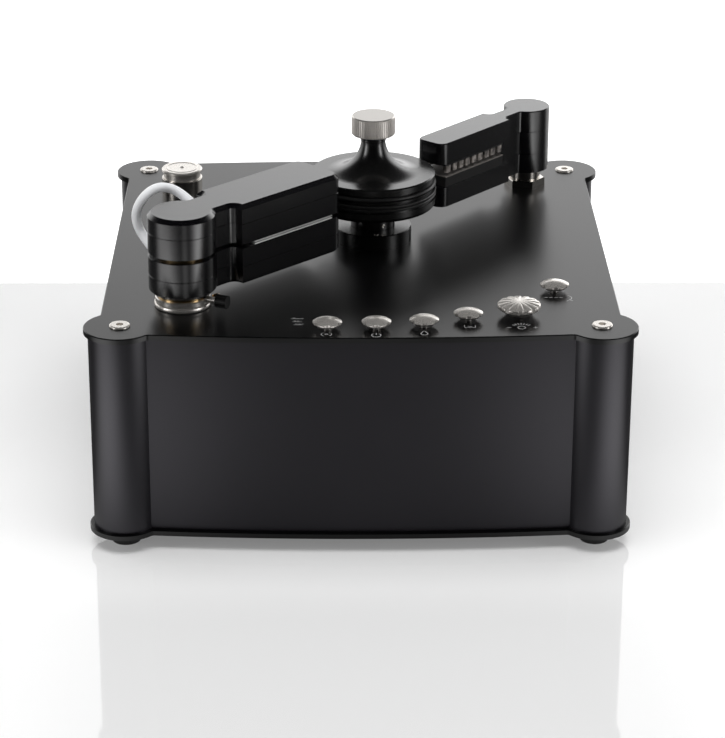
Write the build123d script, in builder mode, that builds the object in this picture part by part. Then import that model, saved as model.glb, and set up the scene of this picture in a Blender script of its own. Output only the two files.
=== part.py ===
"""Record cleaning machine: square deck on four columns, record spindle with its clamp, two double arms.

Millimetres, +Z up. The origin lies on the standing surface, under the middle of the deck.
Heights on the deck are given above the deck's top face and turned into heights in the model by on_deck().
"""

from build123d import *
import math
import os

os.makedirs("parts", exist_ok=True)

# --------------------------------------------------------------------------------------------------
# Driving dimensions
# --------------------------------------------------------------------------------------------------

# Fits
RUNNING_FIT = 0.05          # radial, between a shaft and its bore
SEAM_GAP = 0.1              # between two flat faces that turn on each other
TURN_GAP = 0.3              # between moving pieces that must not touch
HOLE_CLEARANCE = 0.1        # radial, around a fixed tube in a plate

# Chassis
CORNER_OFFSET = 167.1       # column centre from the middle of the deck, along X and along Y
LOBE_RADIUS = 25.4
COLUMN_RADIUS = 22.4
COLUMN_HEIGHT = 145.5
SIDE_OFFSET = 182.0         # straight left and right edges of the plates
FRONT_OFFSET = 189.5        # furthest point of the bowed front and rear edges
EDGE_BOW = 9.3              # how far those edges fall back over the plate's width
LOBE_FILLET = 3.0
PLATE_THICKNESS = 4.0
PLATE_EDGE = 0.6
PANEL_SETBACK = 4.0         # panel face behind the plate's edge
PANEL_THICKNESS = 3.0
FOOT_HEIGHT = 10.5
FOOT_RADIUS = 12.0
FOOT_SOLE_RADIUS = 10.2
FOOT_SOLE_HEIGHT = 5.5
SCREW_RADIUS = 4.0
SCREW_LENGTH = 30.0
SCREW_HEAD_RADIUS = 7.3
SCREW_HEAD_HEIGHT = 1.4
SCREW_SOCKET = 5.0
SCREW_SOCKET_DEPTH = 1.8

# Spindle and record support
SPINDLE_X = 10.5
SPINDLE_Y = 9.5
BASE_RADIUS = 28.9
BASE_HEIGHT = 11.2
HOUSING_RADIUS = 19.0
HOUSING_DEPTH = 46.0        # of the bearing housing, below the deck's top face
BEARING_RADIUS = 13.0
BEARING_HEIGHT = 8.0
BEARING_INSET = 1.0
HOUSING_SHOULDER = 10.5
SHAFT_RADIUS = 6.0
PIN_RADIUS = 3.6            # takes a record's centre hole
PIN_HEIGHT = 66.0
SHAFT_SHOULDER = 30.0
NECK_RADIUS = 16.5
SUPPORT_BOTTOM = 27.6
SUPPORT_TOP = 36.1
SUPPORT_RADIUS = 46.5
SUPPORT_ROUNDING = 3.0
SUPPORT_STEP = 1.5
SEAL_LIP = 0.5              # of the seals beyond the support
SEAL_RADIUS = SUPPORT_RADIUS + SEAL_LIP
SEAL_WIDTH = 9.0
SEAL_EDGE = 0.8
RECORD_PLANE = 38.3         # underside of a record

# Record clamp
CLAMP_BOTTOM = 40.8
CLAMP_WAIST_INSET = 2.5     # behind the seals
CLAMP_RIM_BOTTOM = 48.5
CLAMP_RIM_INSET = 0.8
CLAMP_RIM_TOP = 53.3
CLAMP_WAIST_RADIUS = SEAL_RADIUS - CLAMP_WAIST_INSET
CLAMP_RIM_RADIUS = SEAL_RADIUS - CLAMP_RIM_INSET
CLAMP_RIM_CHAMFER = 0.9
CLAMP_NECK_RADIUS = 8.8
CLAMP_FLARE = 26.3          # radius of the hollow flare
CLAMP_TOP = 81.9
RING_SECTION = 1.95
RING_HEIGHT = 45.05
KNOB_RADIUS = 16.2
KNOB_HEIGHT = 14.4
KNOB_SHANK_RADIUS = 4.0
KNOB_SHANK_LENGTH = 9.0
KNOB_FLUTES = 60
KNOB_FLUTE_RADIUS = 0.45
KNOB_CHAMFER = 0.9

# Drive under the deck
MOTOR_RADIUS = 30.0
MOTOR_TOP = 84.0            # above the floor
MOTOR_HEIGHT = 56.0
MOTOR_BORE_DEPTH = 24.0
MOTOR_MOUNT_SIZE = 72.0
MOTOR_MOUNT_THICKNESS = 4.0
MOTOR_POST_OFFSET = 30.0
MOTOR_POST_RADIUS = 4.0

# Front arm
FRONT_HUB_X = -125.3
FRONT_HUB_Y = -126.0
FRONT_ARM_ANGLE = 45.0
FRONT_HUB_RADIUS = 23.8
FRONT_BAR_START = 36.0
FRONT_BAR_END = 137.0
FRONT_BAR_WIDTH = 47.4
FRONT_NECK_WIDTH = 30.0
FRONT_NECK_FILLET = 4.5
FRONT_HUB_FILLET = 3.0
FRONT_SHOULDER_RADIUS = 4.0
FRONT_TIP_RADIUS = 9.0
FRONT_RING_RADIUS = 19.4
FRONT_RING_HEIGHT = 7.5
FRONT_FLANGE_RADIUS = 17.5
FRONT_PIVOT_RADIUS = 8.0
FRONT_PIVOT_BORE = 5.0
FRONT_ARM_BOTTOM = 11.0
FRONT_LOWER_SEAM = 24.6
FRONT_UPPER_SEAM = 56.1
FRONT_ARM_TOP = 70.0
FRONT_BOTTOM_CHAMFER = 2.4
FRONT_TOP_CHAMFER = 3.0
GAP_BOTTOM = 38.2           # record gap of both arms
GAP_TOP = 41.0
GAP_SPACER_RADIUS = 15.5
PAD_THICKNESS = 0.9
PAD_MARGIN = 0.5
PAD_START = 48.5
PAD_END = 125.5
SEAM_CHAMFER = 0.25

# Lock knob of the front arm
LOCK_ANGLE = -24.0
LOCK_HEIGHT = 6.9
LOCK_BOSS_RADIUS = 2.4
LOCK_BOSS_END = 26.4
LOCK_BOSS_START = 18.3
LOCK_SCREW_RADIUS = 1.5
LOCK_KNOB_RADIUS = 4.7
LOCK_KNOB_LENGTH = 8.3
LOCK_KNOB_FLUTES = 12
LOCK_KNOB_FLUTE_RADIUS = 0.6

# Rear arm
REAR_HUB_X = 132.8
REAR_HUB_Y = 135.0
REAR_ARM_ANGLE = 229.3
REAR_HUB_RADIUS = 18.0
REAR_BAR_START = 38.5
REAR_BAR_END = 122.0
REAR_BAR_WIDTH = 26.3
REAR_NECK_WIDTH = 13.0
REAR_NECK_FILLET = 5.0
REAR_HUB_FILLET = 3.0
REAR_SHOULDER_RADIUS = 1.5
REAR_TIP_RADIUS = 7.0
REAR_NUT_WIDTH = 27.7
REAR_NUT_HEIGHT = 6.0
REAR_COLLAR_RADIUS = 12.0
REAR_PIVOT_RADIUS = 7.0
REAR_PIVOT_BORE = 4.0
REAR_ARM_BOTTOM = 14.5
REAR_LOWER_SEAM = 30.0
REAR_UPPER_SEAM = 48.0
REAR_ARM_TOP = 64.8
REAR_TOP_CHAMFER = 0.7
CARRIER_INSET = 0.9         # carriers behind the bar's sides
CARRIER_START = 46.0
CARRIER_END = 117.0
STRIP_THICKNESS = 0.7
BRUSH_CARRIER_THICKNESS = 1.5
BRUSH_COUNT = 9
BRUSH_LENGTH = 5.4
BRUSH_WIDTH = 4.0

# Pivot tubes of both arms
PIVOT_DEPTH = 36.0          # below the deck's top face
PIVOT_COLLAR_WIDTH = 3.0
PIVOT_COLLAR_HEIGHT = 6.0

# Hose loop on the front arm
HOSE_RADIUS = 3.4
FITTING_RADIUS = 4.2
FITTING_STUB = 2.0
FITTING_NOZZLE = 4.5
FITTING_TILT = 25.0         # nozzles point up by this angle
UPPER_FITTING_HEIGHT = 60.2
UPPER_FITTING_ALONG = 30.0
LOWER_FITTING_HEIGHT = 29.0
LOWER_FITTING_ANGLE = 131.0

# Controls
BUTTON_REACHES = (184.5, 180.5, 179.9, 176.7, 168.9)    # from the spindle
BUTTON_ANGLES = (-10.6, 0.0, 10.6, 21.3, 49.5)          # from straight ahead of it
DIAL_REACH = 185.3
DIAL_ANGLE = 32.7
BUTTON_RADIUS = 10.2
BUTTON_TOP = 7.8
BUTTON_RIM = 4.4            # lower edge of the widest part
HEAD_UNDERSIDE = 2.2
BUTTON_COLLAR_RADIUS = 6.4
BUTTON_DOME = 21.0
BUTTON_LOBES = 6
BUTTON_SCALLOP = 3.2
BUTTON_SCALLOP_DEPTH = 1.3
BUTTON_TRAVEL = 1.5
STEM_RADIUS = 3.0
DIAL_RADIUS = 15.0
DIAL_TOP = 10.3
DIAL_RIM = 5.6
DIAL_COLLAR_RADIUS = 10.5
DIAL_DOME = 46.0
DIAL_SCALLOPS = 14
DIAL_SCALLOP = 2.2
DIAL_SCALLOP_DEPTH = 0.9
BOARD_DEPTH = 26.0          # top face of the board below the deck's top face
BOARD_THICKNESS = 1.6
SWITCH_SIZE = 8.0
SWITCH_HEIGHT = 4.0
ENCODER_SIZE = 13.0
ENCODER_HEIGHT = 7.0
STANDOFF_RADIUS = 3.0

# Filler
FILLER_X = -137.7
FILLER_Y = 115.2
FILLER_RADIUS = 15.8
FILLER_NECK_HEIGHT = 12.5
FILLER_BORE = 9.0
FILLER_TUBE_RADIUS = 11.0
CAP_SKIRT_RADIUS = 14.4
CAP_DISC_BOTTOM = 17.0
CAP_TOP = 19.9
CAP_EDGE = 0.8
CAP_HOLLOW_DEPTH = 2.5

# Tanks, pump, turbine and power supply
TANK_WALL = 3.0
TANK_TOP = 122.0
CLEAN_TANK_LEFT = -172.0
CLEAN_TANK_LENGTH = 96.0
CLEAN_TANK_FRONT = 66.0
CLEAN_TANK_WIDTH = 72.0
WASTE_TANK_LEFT = 52.0
WASTE_TANK_LENGTH = 84.0
WASTE_TANK_BACK = 172.0      # in front of the rear panel
WASTE_TANK_WIDTH = 84.0
WASTE_TANK_TOP = 112.0
TURBINE_X = -102.0
TURBINE_Y = -46.0
TURBINE_RADIUS = 56.0
TURBINE_HEIGHT = 88.0
TURBINE_WALL = 3.0
TURBINE_CHAMBER = 30.0
IMPELLER_RADIUS = 48.0
IMPELLER_VANES = 9
IMPELLER_VANE = 2.5
IMPELLER_HUB = 12.0
IMPELLER_DISC = 3.0
PUMP_X = -30.0
PUMP_Y = 120.0
PUMP_RADIUS = 21.0
PUMP_HEIGHT = 78.0
PUMP_PORT_RADIUS = 5.0
PUMP_PORT_LENGTH = 10.0
SUPPLY_X = 112.0
SUPPLY_Y = -10.0
SUPPLY_LENGTH = 100.0
SUPPLY_WIDTH = 120.0
SUPPLY_HEIGHT = 52.0

# Rear wall
INLET_X = -50.0
INLET_Z = 60.0
INLET_LENGTH = 58.0
INLET_HEIGHT = 28.0
INLET_BACK = 160.0
INLET_FACE = 188.0
SOCKET_LENGTH = 24.0
SOCKET_HEIGHT = 16.6
SOCKET_DEPTH = 14.0
SOCKET_OFFSET = -13.0
BLADE_LENGTH = 8.0
BLADE_WIDTH = 4.0
BLADE_THICKNESS = 2.0
BLADE_SPACING = 7.0
ROCKER_OFFSET = 17.0
ROCKER_RADIUS = 9.6
ROCKER_WIDTH = 13.0
ROCKER_FRONT = 3.6
ROCKER_REAR = 3.0
ROCKER_POCKET_DEPTH = 10.0
ROCKER_POCKET_GAP = 0.4
ROCKER_AXLE_RADIUS = 1.5
SPIGOT_X = 94.0
SPIGOT_Z = 26.0
SPIGOT_RADIUS = 5.0
SPIGOT_BORE = 2.5
SPIGOT_END = 192.0
SPIGOT_TUBE_RADIUS = 6.0    # of its thicker part, inside and through the panel
SPIGOT_SHOULDER = 184.0
SPIGOT_FLANGE_RADIUS = 9.0
SPIGOT_FLANGE_THICKNESS = 3.0
VENT_X = 0.0
VENT_Z = 110.0
VENT_SLOTS = 9
VENT_SPACING = 8.0
VENT_WIDTH = 2.6
VENT_HEIGHT = 36.0

# --------------------------------------------------------------------------------------------------
# Levels and places worked out from them
# --------------------------------------------------------------------------------------------------

FLOOR_TOP = FOOT_HEIGHT + PLATE_THICKNESS
DECK_BOTTOM = FLOOR_TOP + COLUMN_HEIGHT
DECK_TOP = DECK_BOTTOM + PLATE_THICKNESS
PANEL_CROWN = FRONT_OFFSET - PANEL_SETBACK
PANEL_SIDE = SIDE_OFFSET - PANEL_SETBACK
CORNERS = [(sx * CORNER_OFFSET, sy * CORNER_OFFSET) for sy in (-1, 1) for sx in (-1, 1)]


def on_deck(height):
    """Height in the model of a level given above the deck's top face."""
    return DECK_TOP + height


def spindle_plane(height=0.0):
    """Level plane centred on the spindle, at a height above the deck."""
    return Plane(origin=(SPINDLE_X, SPINDLE_Y, on_deck(height)))


def spindle_profile():
    """Upright plane through the spindle: x is the radius, y the height above the deck."""
    return Plane(origin=(SPINDLE_X, SPINDLE_Y, DECK_TOP), x_dir=(1, 0, 0), z_dir=(0, -1, 0))


def arm_plane(hub_x, hub_y, angle, height):
    """Level plane centred on an arm's pivot, with x along the arm."""
    direction = (math.cos(math.radians(angle)), math.sin(math.radians(angle)), 0)
    return Plane(origin=(hub_x, hub_y, on_deck(height)), x_dir=direction, z_dir=(0, 0, 1))


def front_plane(height):
    """Level plane of the front arm."""
    return arm_plane(FRONT_HUB_X, FRONT_HUB_Y, FRONT_ARM_ANGLE, height)


def rear_plane(height):
    """Level plane of the rear arm."""
    return arm_plane(REAR_HUB_X, REAR_HUB_Y, REAR_ARM_ANGLE, height)


def control_place(reach, angle):
    """Place at a distance from the spindle, at an angle from straight ahead of it."""
    turn = math.radians(angle)
    return (SPINDLE_X + reach * math.sin(turn), SPINDLE_Y - reach * math.cos(turn))


BUTTON_PLACES = [control_place(reach, angle) for reach, angle in zip(BUTTON_REACHES, BUTTON_ANGLES)]
DIAL_PLACE = control_place(DIAL_REACH, DIAL_ANGLE)


def wide_circles(builder, radius):
    """Round edges of a piece that are wider than the given radius."""
    return builder.edges().filter_by(GeomType.CIRCLE).filter_by(lambda e: e.radius > radius)


def finish(builder, name):
    """Label a finished piece and write it."""
    builder.part.label = name
    export_step(builder.part, f"parts/{name}.step")


# --------------------------------------------------------------------------------------------------
# Chassis
# --------------------------------------------------------------------------------------------------


def plate_outline(height):
    """Outline of both plates: straight sides, bowed front and rear, a round lobe at each corner."""
    bow_end = FRONT_OFFSET - EDGE_BOW
    with BuildSketch(Plane.XY.offset(height)) as outline:
        with BuildLine():
            ThreePointArc((-SIDE_OFFSET, -bow_end), (0, -FRONT_OFFSET), (SIDE_OFFSET, -bow_end))
            Line((SIDE_OFFSET, -bow_end), (SIDE_OFFSET, bow_end))
            ThreePointArc((SIDE_OFFSET, bow_end), (0, FRONT_OFFSET), (-SIDE_OFFSET, bow_end))
            Line((-SIDE_OFFSET, bow_end), (-SIDE_OFFSET, -bow_end))
        make_face()
        with PolarLocations(CORNER_OFFSET * math.sqrt(2), len(CORNERS), start_angle=45):
            Circle(LOBE_RADIUS)
        inner = outline.vertices().filter_by(lambda v: min(abs(v.X), abs(v.Y)) < CORNER_OFFSET)
        fillet(inner, LOBE_FILLET)
    return outline.sketch


with BuildPart() as top_plate:
    extrude(plate_outline(DECK_BOTTOM), amount=PLATE_THICKNESS)
    chamfer(top_plate.faces().sort_by(Axis.Z)[-1].outer_wire().edges(), PLATE_EDGE)
    with BuildSketch(Plane.XY.offset(DECK_BOTTOM)):
        with Locations(*CORNERS):
            Circle(SCREW_RADIUS + HOLE_CLEARANCE)
        with Locations((SPINDLE_X, SPINDLE_Y)):
            Circle(HOUSING_RADIUS + HOLE_CLEARANCE)
        with Locations((FRONT_HUB_X, FRONT_HUB_Y)):
            Circle(FRONT_PIVOT_RADIUS + HOLE_CLEARANCE)
        with Locations((REAR_HUB_X, REAR_HUB_Y)):
            Circle(REAR_PIVOT_RADIUS + HOLE_CLEARANCE)
        with Locations((FILLER_X, FILLER_Y)):
            Circle(FILLER_TUBE_RADIUS + HOLE_CLEARANCE)
        with Locations(*BUTTON_PLACES, DIAL_PLACE):
            Circle(STEM_RADIUS + RUNNING_FIT)
    extrude(amount=PLATE_THICKNESS, mode=Mode.SUBTRACT)
finish(top_plate, "top_plate")

with BuildPart() as bottom_plate:
    extrude(plate_outline(FOOT_HEIGHT), amount=PLATE_THICKNESS)
    chamfer(bottom_plate.faces().sort_by(Axis.Z)[-1].outer_wire().edges(), PLATE_EDGE)
    with BuildSketch(Plane.XY.offset(FOOT_HEIGHT)):
        with Locations(*CORNERS):
            Circle(SCREW_RADIUS + HOLE_CLEARANCE)
    extrude(amount=PLATE_THICKNESS, mode=Mode.SUBTRACT)
finish(bottom_plate, "bottom_plate")

for corner, corner_name in zip(CORNERS, ("front_left", "front_right", "rear_left", "rear_right")):
    with BuildPart() as column:
        with BuildSketch(Plane.XY.offset(FLOOR_TOP)):
            with Locations(corner):
                Circle(COLUMN_RADIUS)
                Circle(SCREW_RADIUS, mode=Mode.SUBTRACT)
        extrude(amount=COLUMN_HEIGHT)
    finish(column, f"column_{corner_name}")


def bowed_panel_outline(side):
    """Outline of the front (side = -1) or rear (side = 1) panel, ending at the columns."""
    bow_end = PANEL_CROWN - EDGE_BOW
    inner = PANEL_THICKNESS
    with BuildSketch(Plane.XY.offset(FLOOR_TOP)) as outline:
        with BuildLine():
            crown = (0, side * PANEL_CROWN)
            ThreePointArc((-SIDE_OFFSET, side * bow_end), crown, (SIDE_OFFSET, side * bow_end))
            Line((SIDE_OFFSET, side * bow_end), (SIDE_OFFSET, side * (bow_end - inner)))
            ThreePointArc(
                (SIDE_OFFSET, side * (bow_end - inner)),
                (0, side * (PANEL_CROWN - inner)),
                (-SIDE_OFFSET, side * (bow_end - inner)),
            )
            Line((-SIDE_OFFSET, side * (bow_end - inner)), (-SIDE_OFFSET, side * bow_end))
        make_face()
        Rectangle(2 * CORNER_OFFSET, 4 * CORNER_OFFSET, mode=Mode.INTERSECT)
        with Locations(*CORNERS):
            Circle(COLUMN_RADIUS, mode=Mode.SUBTRACT)
    return outline.sketch


with BuildPart() as front_panel:
    extrude(bowed_panel_outline(-1), amount=COLUMN_HEIGHT)
finish(front_panel, "front_panel")

with BuildPart() as rear_panel:
    extrude(bowed_panel_outline(1), amount=COLUMN_HEIGHT)
    with BuildSketch(Plane.XZ.offset(-PANEL_CROWN)):
        with Locations((INLET_X, INLET_Z)):
            Rectangle(INLET_LENGTH + 2 * HOLE_CLEARANCE, INLET_HEIGHT + 2 * HOLE_CLEARANCE)
        with Locations((SPIGOT_X, SPIGOT_Z)):
            Circle(SPIGOT_TUBE_RADIUS + HOLE_CLEARANCE)
        with Locations((VENT_X, VENT_Z)):
            with GridLocations(VENT_SPACING, 0, VENT_SLOTS, 1):
                SlotOverall(VENT_HEIGHT, VENT_WIDTH, rotation=90)
    extrude(amount=PANEL_THICKNESS + EDGE_BOW, mode=Mode.SUBTRACT)
finish(rear_panel, "rear_panel")

for side, side_name in ((-1, "left"), (1, "right")):
    with BuildPart() as side_panel:
        with BuildSketch(Plane.XY.offset(FLOOR_TOP)):
            with Locations((side * (PANEL_SIDE - PANEL_THICKNESS / 2), 0)):
                Rectangle(PANEL_THICKNESS, 2 * CORNER_OFFSET)
            with Locations(*CORNERS):
                Circle(COLUMN_RADIUS, mode=Mode.SUBTRACT)
        extrude(amount=COLUMN_HEIGHT)
    finish(side_panel, f"{side_name}_panel")

with BuildPart() as feet:
    with BuildSketch(Plane.XY):
        with Locations(*CORNERS):
            Circle(FOOT_SOLE_RADIUS)
    extrude(amount=FOOT_SOLE_HEIGHT)
    with BuildSketch(Plane.XY.offset(FOOT_SOLE_HEIGHT)):
        with Locations(*CORNERS):
            Circle(FOOT_RADIUS)
    extrude(amount=FOOT_HEIGHT - FOOT_SOLE_HEIGHT)
    with BuildSketch(Plane.XY.offset(FOOT_HEIGHT)):
        with Locations(*CORNERS):
            Circle(SCREW_RADIUS)
    extrude(amount=SCREW_LENGTH)
finish(feet, "feet")

with BuildPart() as corner_screws:
    with BuildSketch(Plane.XY.offset(DECK_TOP - SCREW_LENGTH)):
        with Locations(*CORNERS):
            Circle(SCREW_RADIUS)
    extrude(amount=SCREW_LENGTH)
    with BuildSketch(Plane.XY.offset(DECK_TOP)):
        with Locations(*CORNERS):
            Circle(SCREW_HEAD_RADIUS)
    extrude(amount=SCREW_HEAD_HEIGHT)
    fillet(corner_screws.edges().group_by(Axis.Z)[-1], SCREW_HEAD_HEIGHT * 0.75)
    with BuildSketch(Plane.XY.offset(DECK_TOP + SCREW_HEAD_HEIGHT)):
        with Locations(*CORNERS):
            RegularPolygon(SCREW_SOCKET / 2, 6, major_radius=False)
    extrude(amount=-SCREW_SOCKET_DEPTH, mode=Mode.SUBTRACT)
finish(corner_screws, "corner_screws")

# --------------------------------------------------------------------------------------------------
# Spindle: bearing housing, bearings, gear motor and its mount
# --------------------------------------------------------------------------------------------------

UPPER_BEARING_TOP = BASE_HEIGHT - BEARING_INSET
UPPER_BEARING_BOTTOM = UPPER_BEARING_TOP - BEARING_HEIGHT
LOWER_BEARING_BOTTOM = BEARING_INSET - HOUSING_DEPTH
LOWER_BEARING_TOP = LOWER_BEARING_BOTTOM + BEARING_HEIGHT

with BuildPart() as spindle_base:
    with BuildSketch(spindle_profile()):
        with BuildLine():
            Polyline(
                (BEARING_RADIUS, BASE_HEIGHT),
                (BASE_RADIUS, BASE_HEIGHT),
                (BASE_RADIUS, 0),
                (HOUSING_RADIUS, 0),
                (HOUSING_RADIUS, -HOUSING_DEPTH),
                (BEARING_RADIUS, -HOUSING_DEPTH),
                (BEARING_RADIUS, LOWER_BEARING_TOP),
                (HOUSING_SHOULDER, LOWER_BEARING_TOP),
                (HOUSING_SHOULDER, UPPER_BEARING_BOTTOM),
                (BEARING_RADIUS, UPPER_BEARING_BOTTOM),
                close=True,
            )
        make_face()
    revolve(axis=Axis((SPINDLE_X, SPINDLE_Y, 0), (0, 0, 1)))
    chamfer(spindle_base.faces().sort_by(Axis.Z)[-1].outer_wire().edges(), PLATE_EDGE)
finish(spindle_base, "spindle_base")

with BuildPart() as spindle_bearings:
    for bottom in (LOWER_BEARING_BOTTOM, UPPER_BEARING_BOTTOM):
        with BuildSketch(spindle_plane(bottom)):
            Circle(BEARING_RADIUS)
            Circle(SHAFT_RADIUS + RUNNING_FIT, mode=Mode.SUBTRACT)
        extrude(amount=BEARING_HEIGHT)
finish(spindle_bearings, "spindle_bearings")

with BuildPart() as gear_motor:
    with BuildSketch(Plane.XY.offset(MOTOR_TOP)):
        with Locations((SPINDLE_X, SPINDLE_Y)):
            Circle(MOTOR_RADIUS)
    extrude(amount=-MOTOR_HEIGHT)
    chamfer(gear_motor.edges().group_by(Axis.Z)[0], PANEL_THICKNESS)
    with BuildSketch(Plane.XY.offset(MOTOR_TOP)):
        with Locations((SPINDLE_X, SPINDLE_Y)):
            Circle(SHAFT_RADIUS + RUNNING_FIT)
    extrude(amount=-MOTOR_BORE_DEPTH, mode=Mode.SUBTRACT)
finish(gear_motor, "gear_motor")

with BuildPart() as motor_mount:
    with BuildSketch(Plane.XY.offset(MOTOR_TOP)):
        with Locations((SPINDLE_X, SPINDLE_Y)):
            RectangleRounded(MOTOR_MOUNT_SIZE, MOTOR_MOUNT_SIZE, MOTOR_POST_RADIUS)
            Circle(BEARING_RADIUS, mode=Mode.SUBTRACT)
    extrude(amount=MOTOR_MOUNT_THICKNESS)
    with BuildSketch(Plane.XY.offset(MOTOR_TOP + MOTOR_MOUNT_THICKNESS)):
        with Locations((SPINDLE_X, SPINDLE_Y)):
            with GridLocations(2 * MOTOR_POST_OFFSET, 2 * MOTOR_POST_OFFSET, 2, 2):
                Circle(MOTOR_POST_RADIUS)
    extrude(amount=DECK_BOTTOM - MOTOR_TOP - MOTOR_MOUNT_THICKNESS)
finish(motor_mount, "motor_mount")

# --------------------------------------------------------------------------------------------------
# Record support, turning on the spindle
# --------------------------------------------------------------------------------------------------

SPINDLE_AXIS = Axis((SPINDLE_X, SPINDLE_Y, 0), (0, 0, 1))
SHAFT_BOTTOM = MOTOR_TOP - MOTOR_BORE_DEPTH + TURN_GAP - DECK_TOP

with BuildPart() as spindle_shaft:
    with BuildSketch(spindle_plane(SHAFT_BOTTOM)):
        Circle(SHAFT_RADIUS)
    extrude(amount=SHAFT_SHOULDER - SHAFT_BOTTOM)
    with BuildSketch(spindle_plane(SHAFT_SHOULDER)):
        Circle(PIN_RADIUS)
    extrude(amount=PIN_HEIGHT - SHAFT_SHOULDER)
    chamfer(spindle_shaft.edges().group_by(Axis.Z)[-1], PIN_RADIUS / 3)
finish(spindle_shaft, "spindle_shaft")

with BuildPart() as record_support:
    with BuildSketch(spindle_profile()):
        with BuildLine():
            Polyline(
                (SHAFT_RADIUS, BASE_HEIGHT + TURN_GAP),
                (NECK_RADIUS, BASE_HEIGHT + TURN_GAP),
                (NECK_RADIUS, SUPPORT_BOTTOM),
                (SUPPORT_RADIUS, SUPPORT_BOTTOM),
                (SUPPORT_RADIUS, SUPPORT_TOP - SUPPORT_STEP),
                (SUPPORT_RADIUS - SUPPORT_STEP, SUPPORT_TOP - SUPPORT_STEP),
                (SUPPORT_RADIUS - SUPPORT_STEP, SUPPORT_TOP),
                (PIN_RADIUS, SUPPORT_TOP),
                (PIN_RADIUS, SHAFT_SHOULDER),
                (SHAFT_RADIUS, SHAFT_SHOULDER),
                close=True,
            )
        make_face()
    revolve(axis=SPINDLE_AXIS)
    disc_edges = wide_circles(record_support, (NECK_RADIUS + SUPPORT_RADIUS) / 2)
    fillet(disc_edges.group_by(Axis.Z)[0], SUPPORT_ROUNDING)
finish(record_support, "record_support")

with BuildPart() as support_seal:
    with BuildSketch(spindle_plane(SUPPORT_TOP)):
        Circle(SEAL_RADIUS)
        Circle(SEAL_RADIUS - SEAL_WIDTH, mode=Mode.SUBTRACT)
    extrude(amount=RECORD_PLANE - SUPPORT_TOP)
    fillet(wide_circles(support_seal, SEAL_RADIUS - SEAL_WIDTH / 2), SEAL_EDGE)
finish(support_seal, "support_seal")

# --------------------------------------------------------------------------------------------------
# Record clamp, lifted off the spindle
# --------------------------------------------------------------------------------------------------

with BuildPart() as clamp_body:
    with BuildSketch(spindle_profile()):
        with BuildLine():
            flare_foot = CLAMP_NECK_RADIUS + CLAMP_FLARE
            flare_level = CLAMP_RIM_TOP
            Polyline(
                (PIN_RADIUS + RUNNING_FIT, CLAMP_BOTTOM),
                (CLAMP_WAIST_RADIUS, CLAMP_BOTTOM),
                (CLAMP_WAIST_RADIUS, CLAMP_RIM_BOTTOM),
                (CLAMP_RIM_RADIUS, CLAMP_RIM_BOTTOM),
                (CLAMP_RIM_RADIUS, CLAMP_RIM_TOP - CLAMP_RIM_CHAMFER),
                (CLAMP_RIM_RADIUS - CLAMP_RIM_CHAMFER, CLAMP_RIM_TOP),
                (flare_foot, flare_level),
            )
            flare_head = (CLAMP_NECK_RADIUS, flare_level + CLAMP_FLARE)
            RadiusArc((flare_foot, flare_level), flare_head, CLAMP_FLARE)
            Polyline(
                (CLAMP_NECK_RADIUS, flare_level + CLAMP_FLARE),
                (CLAMP_NECK_RADIUS, CLAMP_TOP),
                (KNOB_SHANK_RADIUS + RUNNING_FIT, CLAMP_TOP),
                (KNOB_SHANK_RADIUS + RUNNING_FIT, CLAMP_TOP - KNOB_SHANK_LENGTH - TURN_GAP),
                (PIN_RADIUS + RUNNING_FIT, CLAMP_TOP - KNOB_SHANK_LENGTH - TURN_GAP),
                (PIN_RADIUS + RUNNING_FIT, CLAMP_BOTTOM),
            )
        make_face()
    revolve(axis=SPINDLE_AXIS)
    with Locations((SPINDLE_X, SPINDLE_Y, on_deck(RING_HEIGHT))):
        Torus(SEAL_RADIUS - RING_SECTION, RING_SECTION, mode=Mode.SUBTRACT)
finish(clamp_body, "clamp_body")

with BuildPart() as clamp_rings:
    with BuildSketch(spindle_plane(RECORD_PLANE)):
        Circle(SEAL_RADIUS)
        Circle(SEAL_RADIUS - SEAL_WIDTH, mode=Mode.SUBTRACT)
    extrude(amount=CLAMP_BOTTOM - RECORD_PLANE)
    fillet(wide_circles(clamp_rings, SEAL_RADIUS - SEAL_WIDTH / 2), SEAL_EDGE)
    with Locations((SPINDLE_X, SPINDLE_Y, on_deck(RING_HEIGHT))):
        Torus(SEAL_RADIUS - RING_SECTION, RING_SECTION)
finish(clamp_rings, "clamp_rings")

with BuildPart() as clamp_knob:
    with BuildSketch(spindle_plane(CLAMP_TOP + SEAM_GAP)):
        Circle(KNOB_RADIUS)
        with PolarLocations(KNOB_RADIUS, KNOB_FLUTES):
            Circle(KNOB_FLUTE_RADIUS, mode=Mode.SUBTRACT)
    extrude(amount=KNOB_HEIGHT)
    with BuildSketch(spindle_profile()):
        knob_bottom = CLAMP_TOP + SEAM_GAP
        knob_top = knob_bottom + KNOB_HEIGHT
        with BuildLine():
            Polyline(
                (0, knob_bottom),
                (KNOB_RADIUS - KNOB_CHAMFER, knob_bottom),
                (KNOB_RADIUS, knob_bottom + KNOB_CHAMFER),
                (KNOB_RADIUS, knob_top - KNOB_CHAMFER),
                (KNOB_RADIUS - KNOB_CHAMFER, knob_top),
                (0, knob_top),
                close=True,
            )
        make_face()
    revolve(axis=SPINDLE_AXIS, mode=Mode.INTERSECT)
    with BuildSketch(spindle_plane(CLAMP_TOP + SEAM_GAP)):
        Circle(KNOB_SHANK_RADIUS)
    extrude(amount=-KNOB_SHANK_LENGTH)
finish(clamp_knob, "clamp_knob")

# --------------------------------------------------------------------------------------------------
# Arms
# --------------------------------------------------------------------------------------------------


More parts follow.
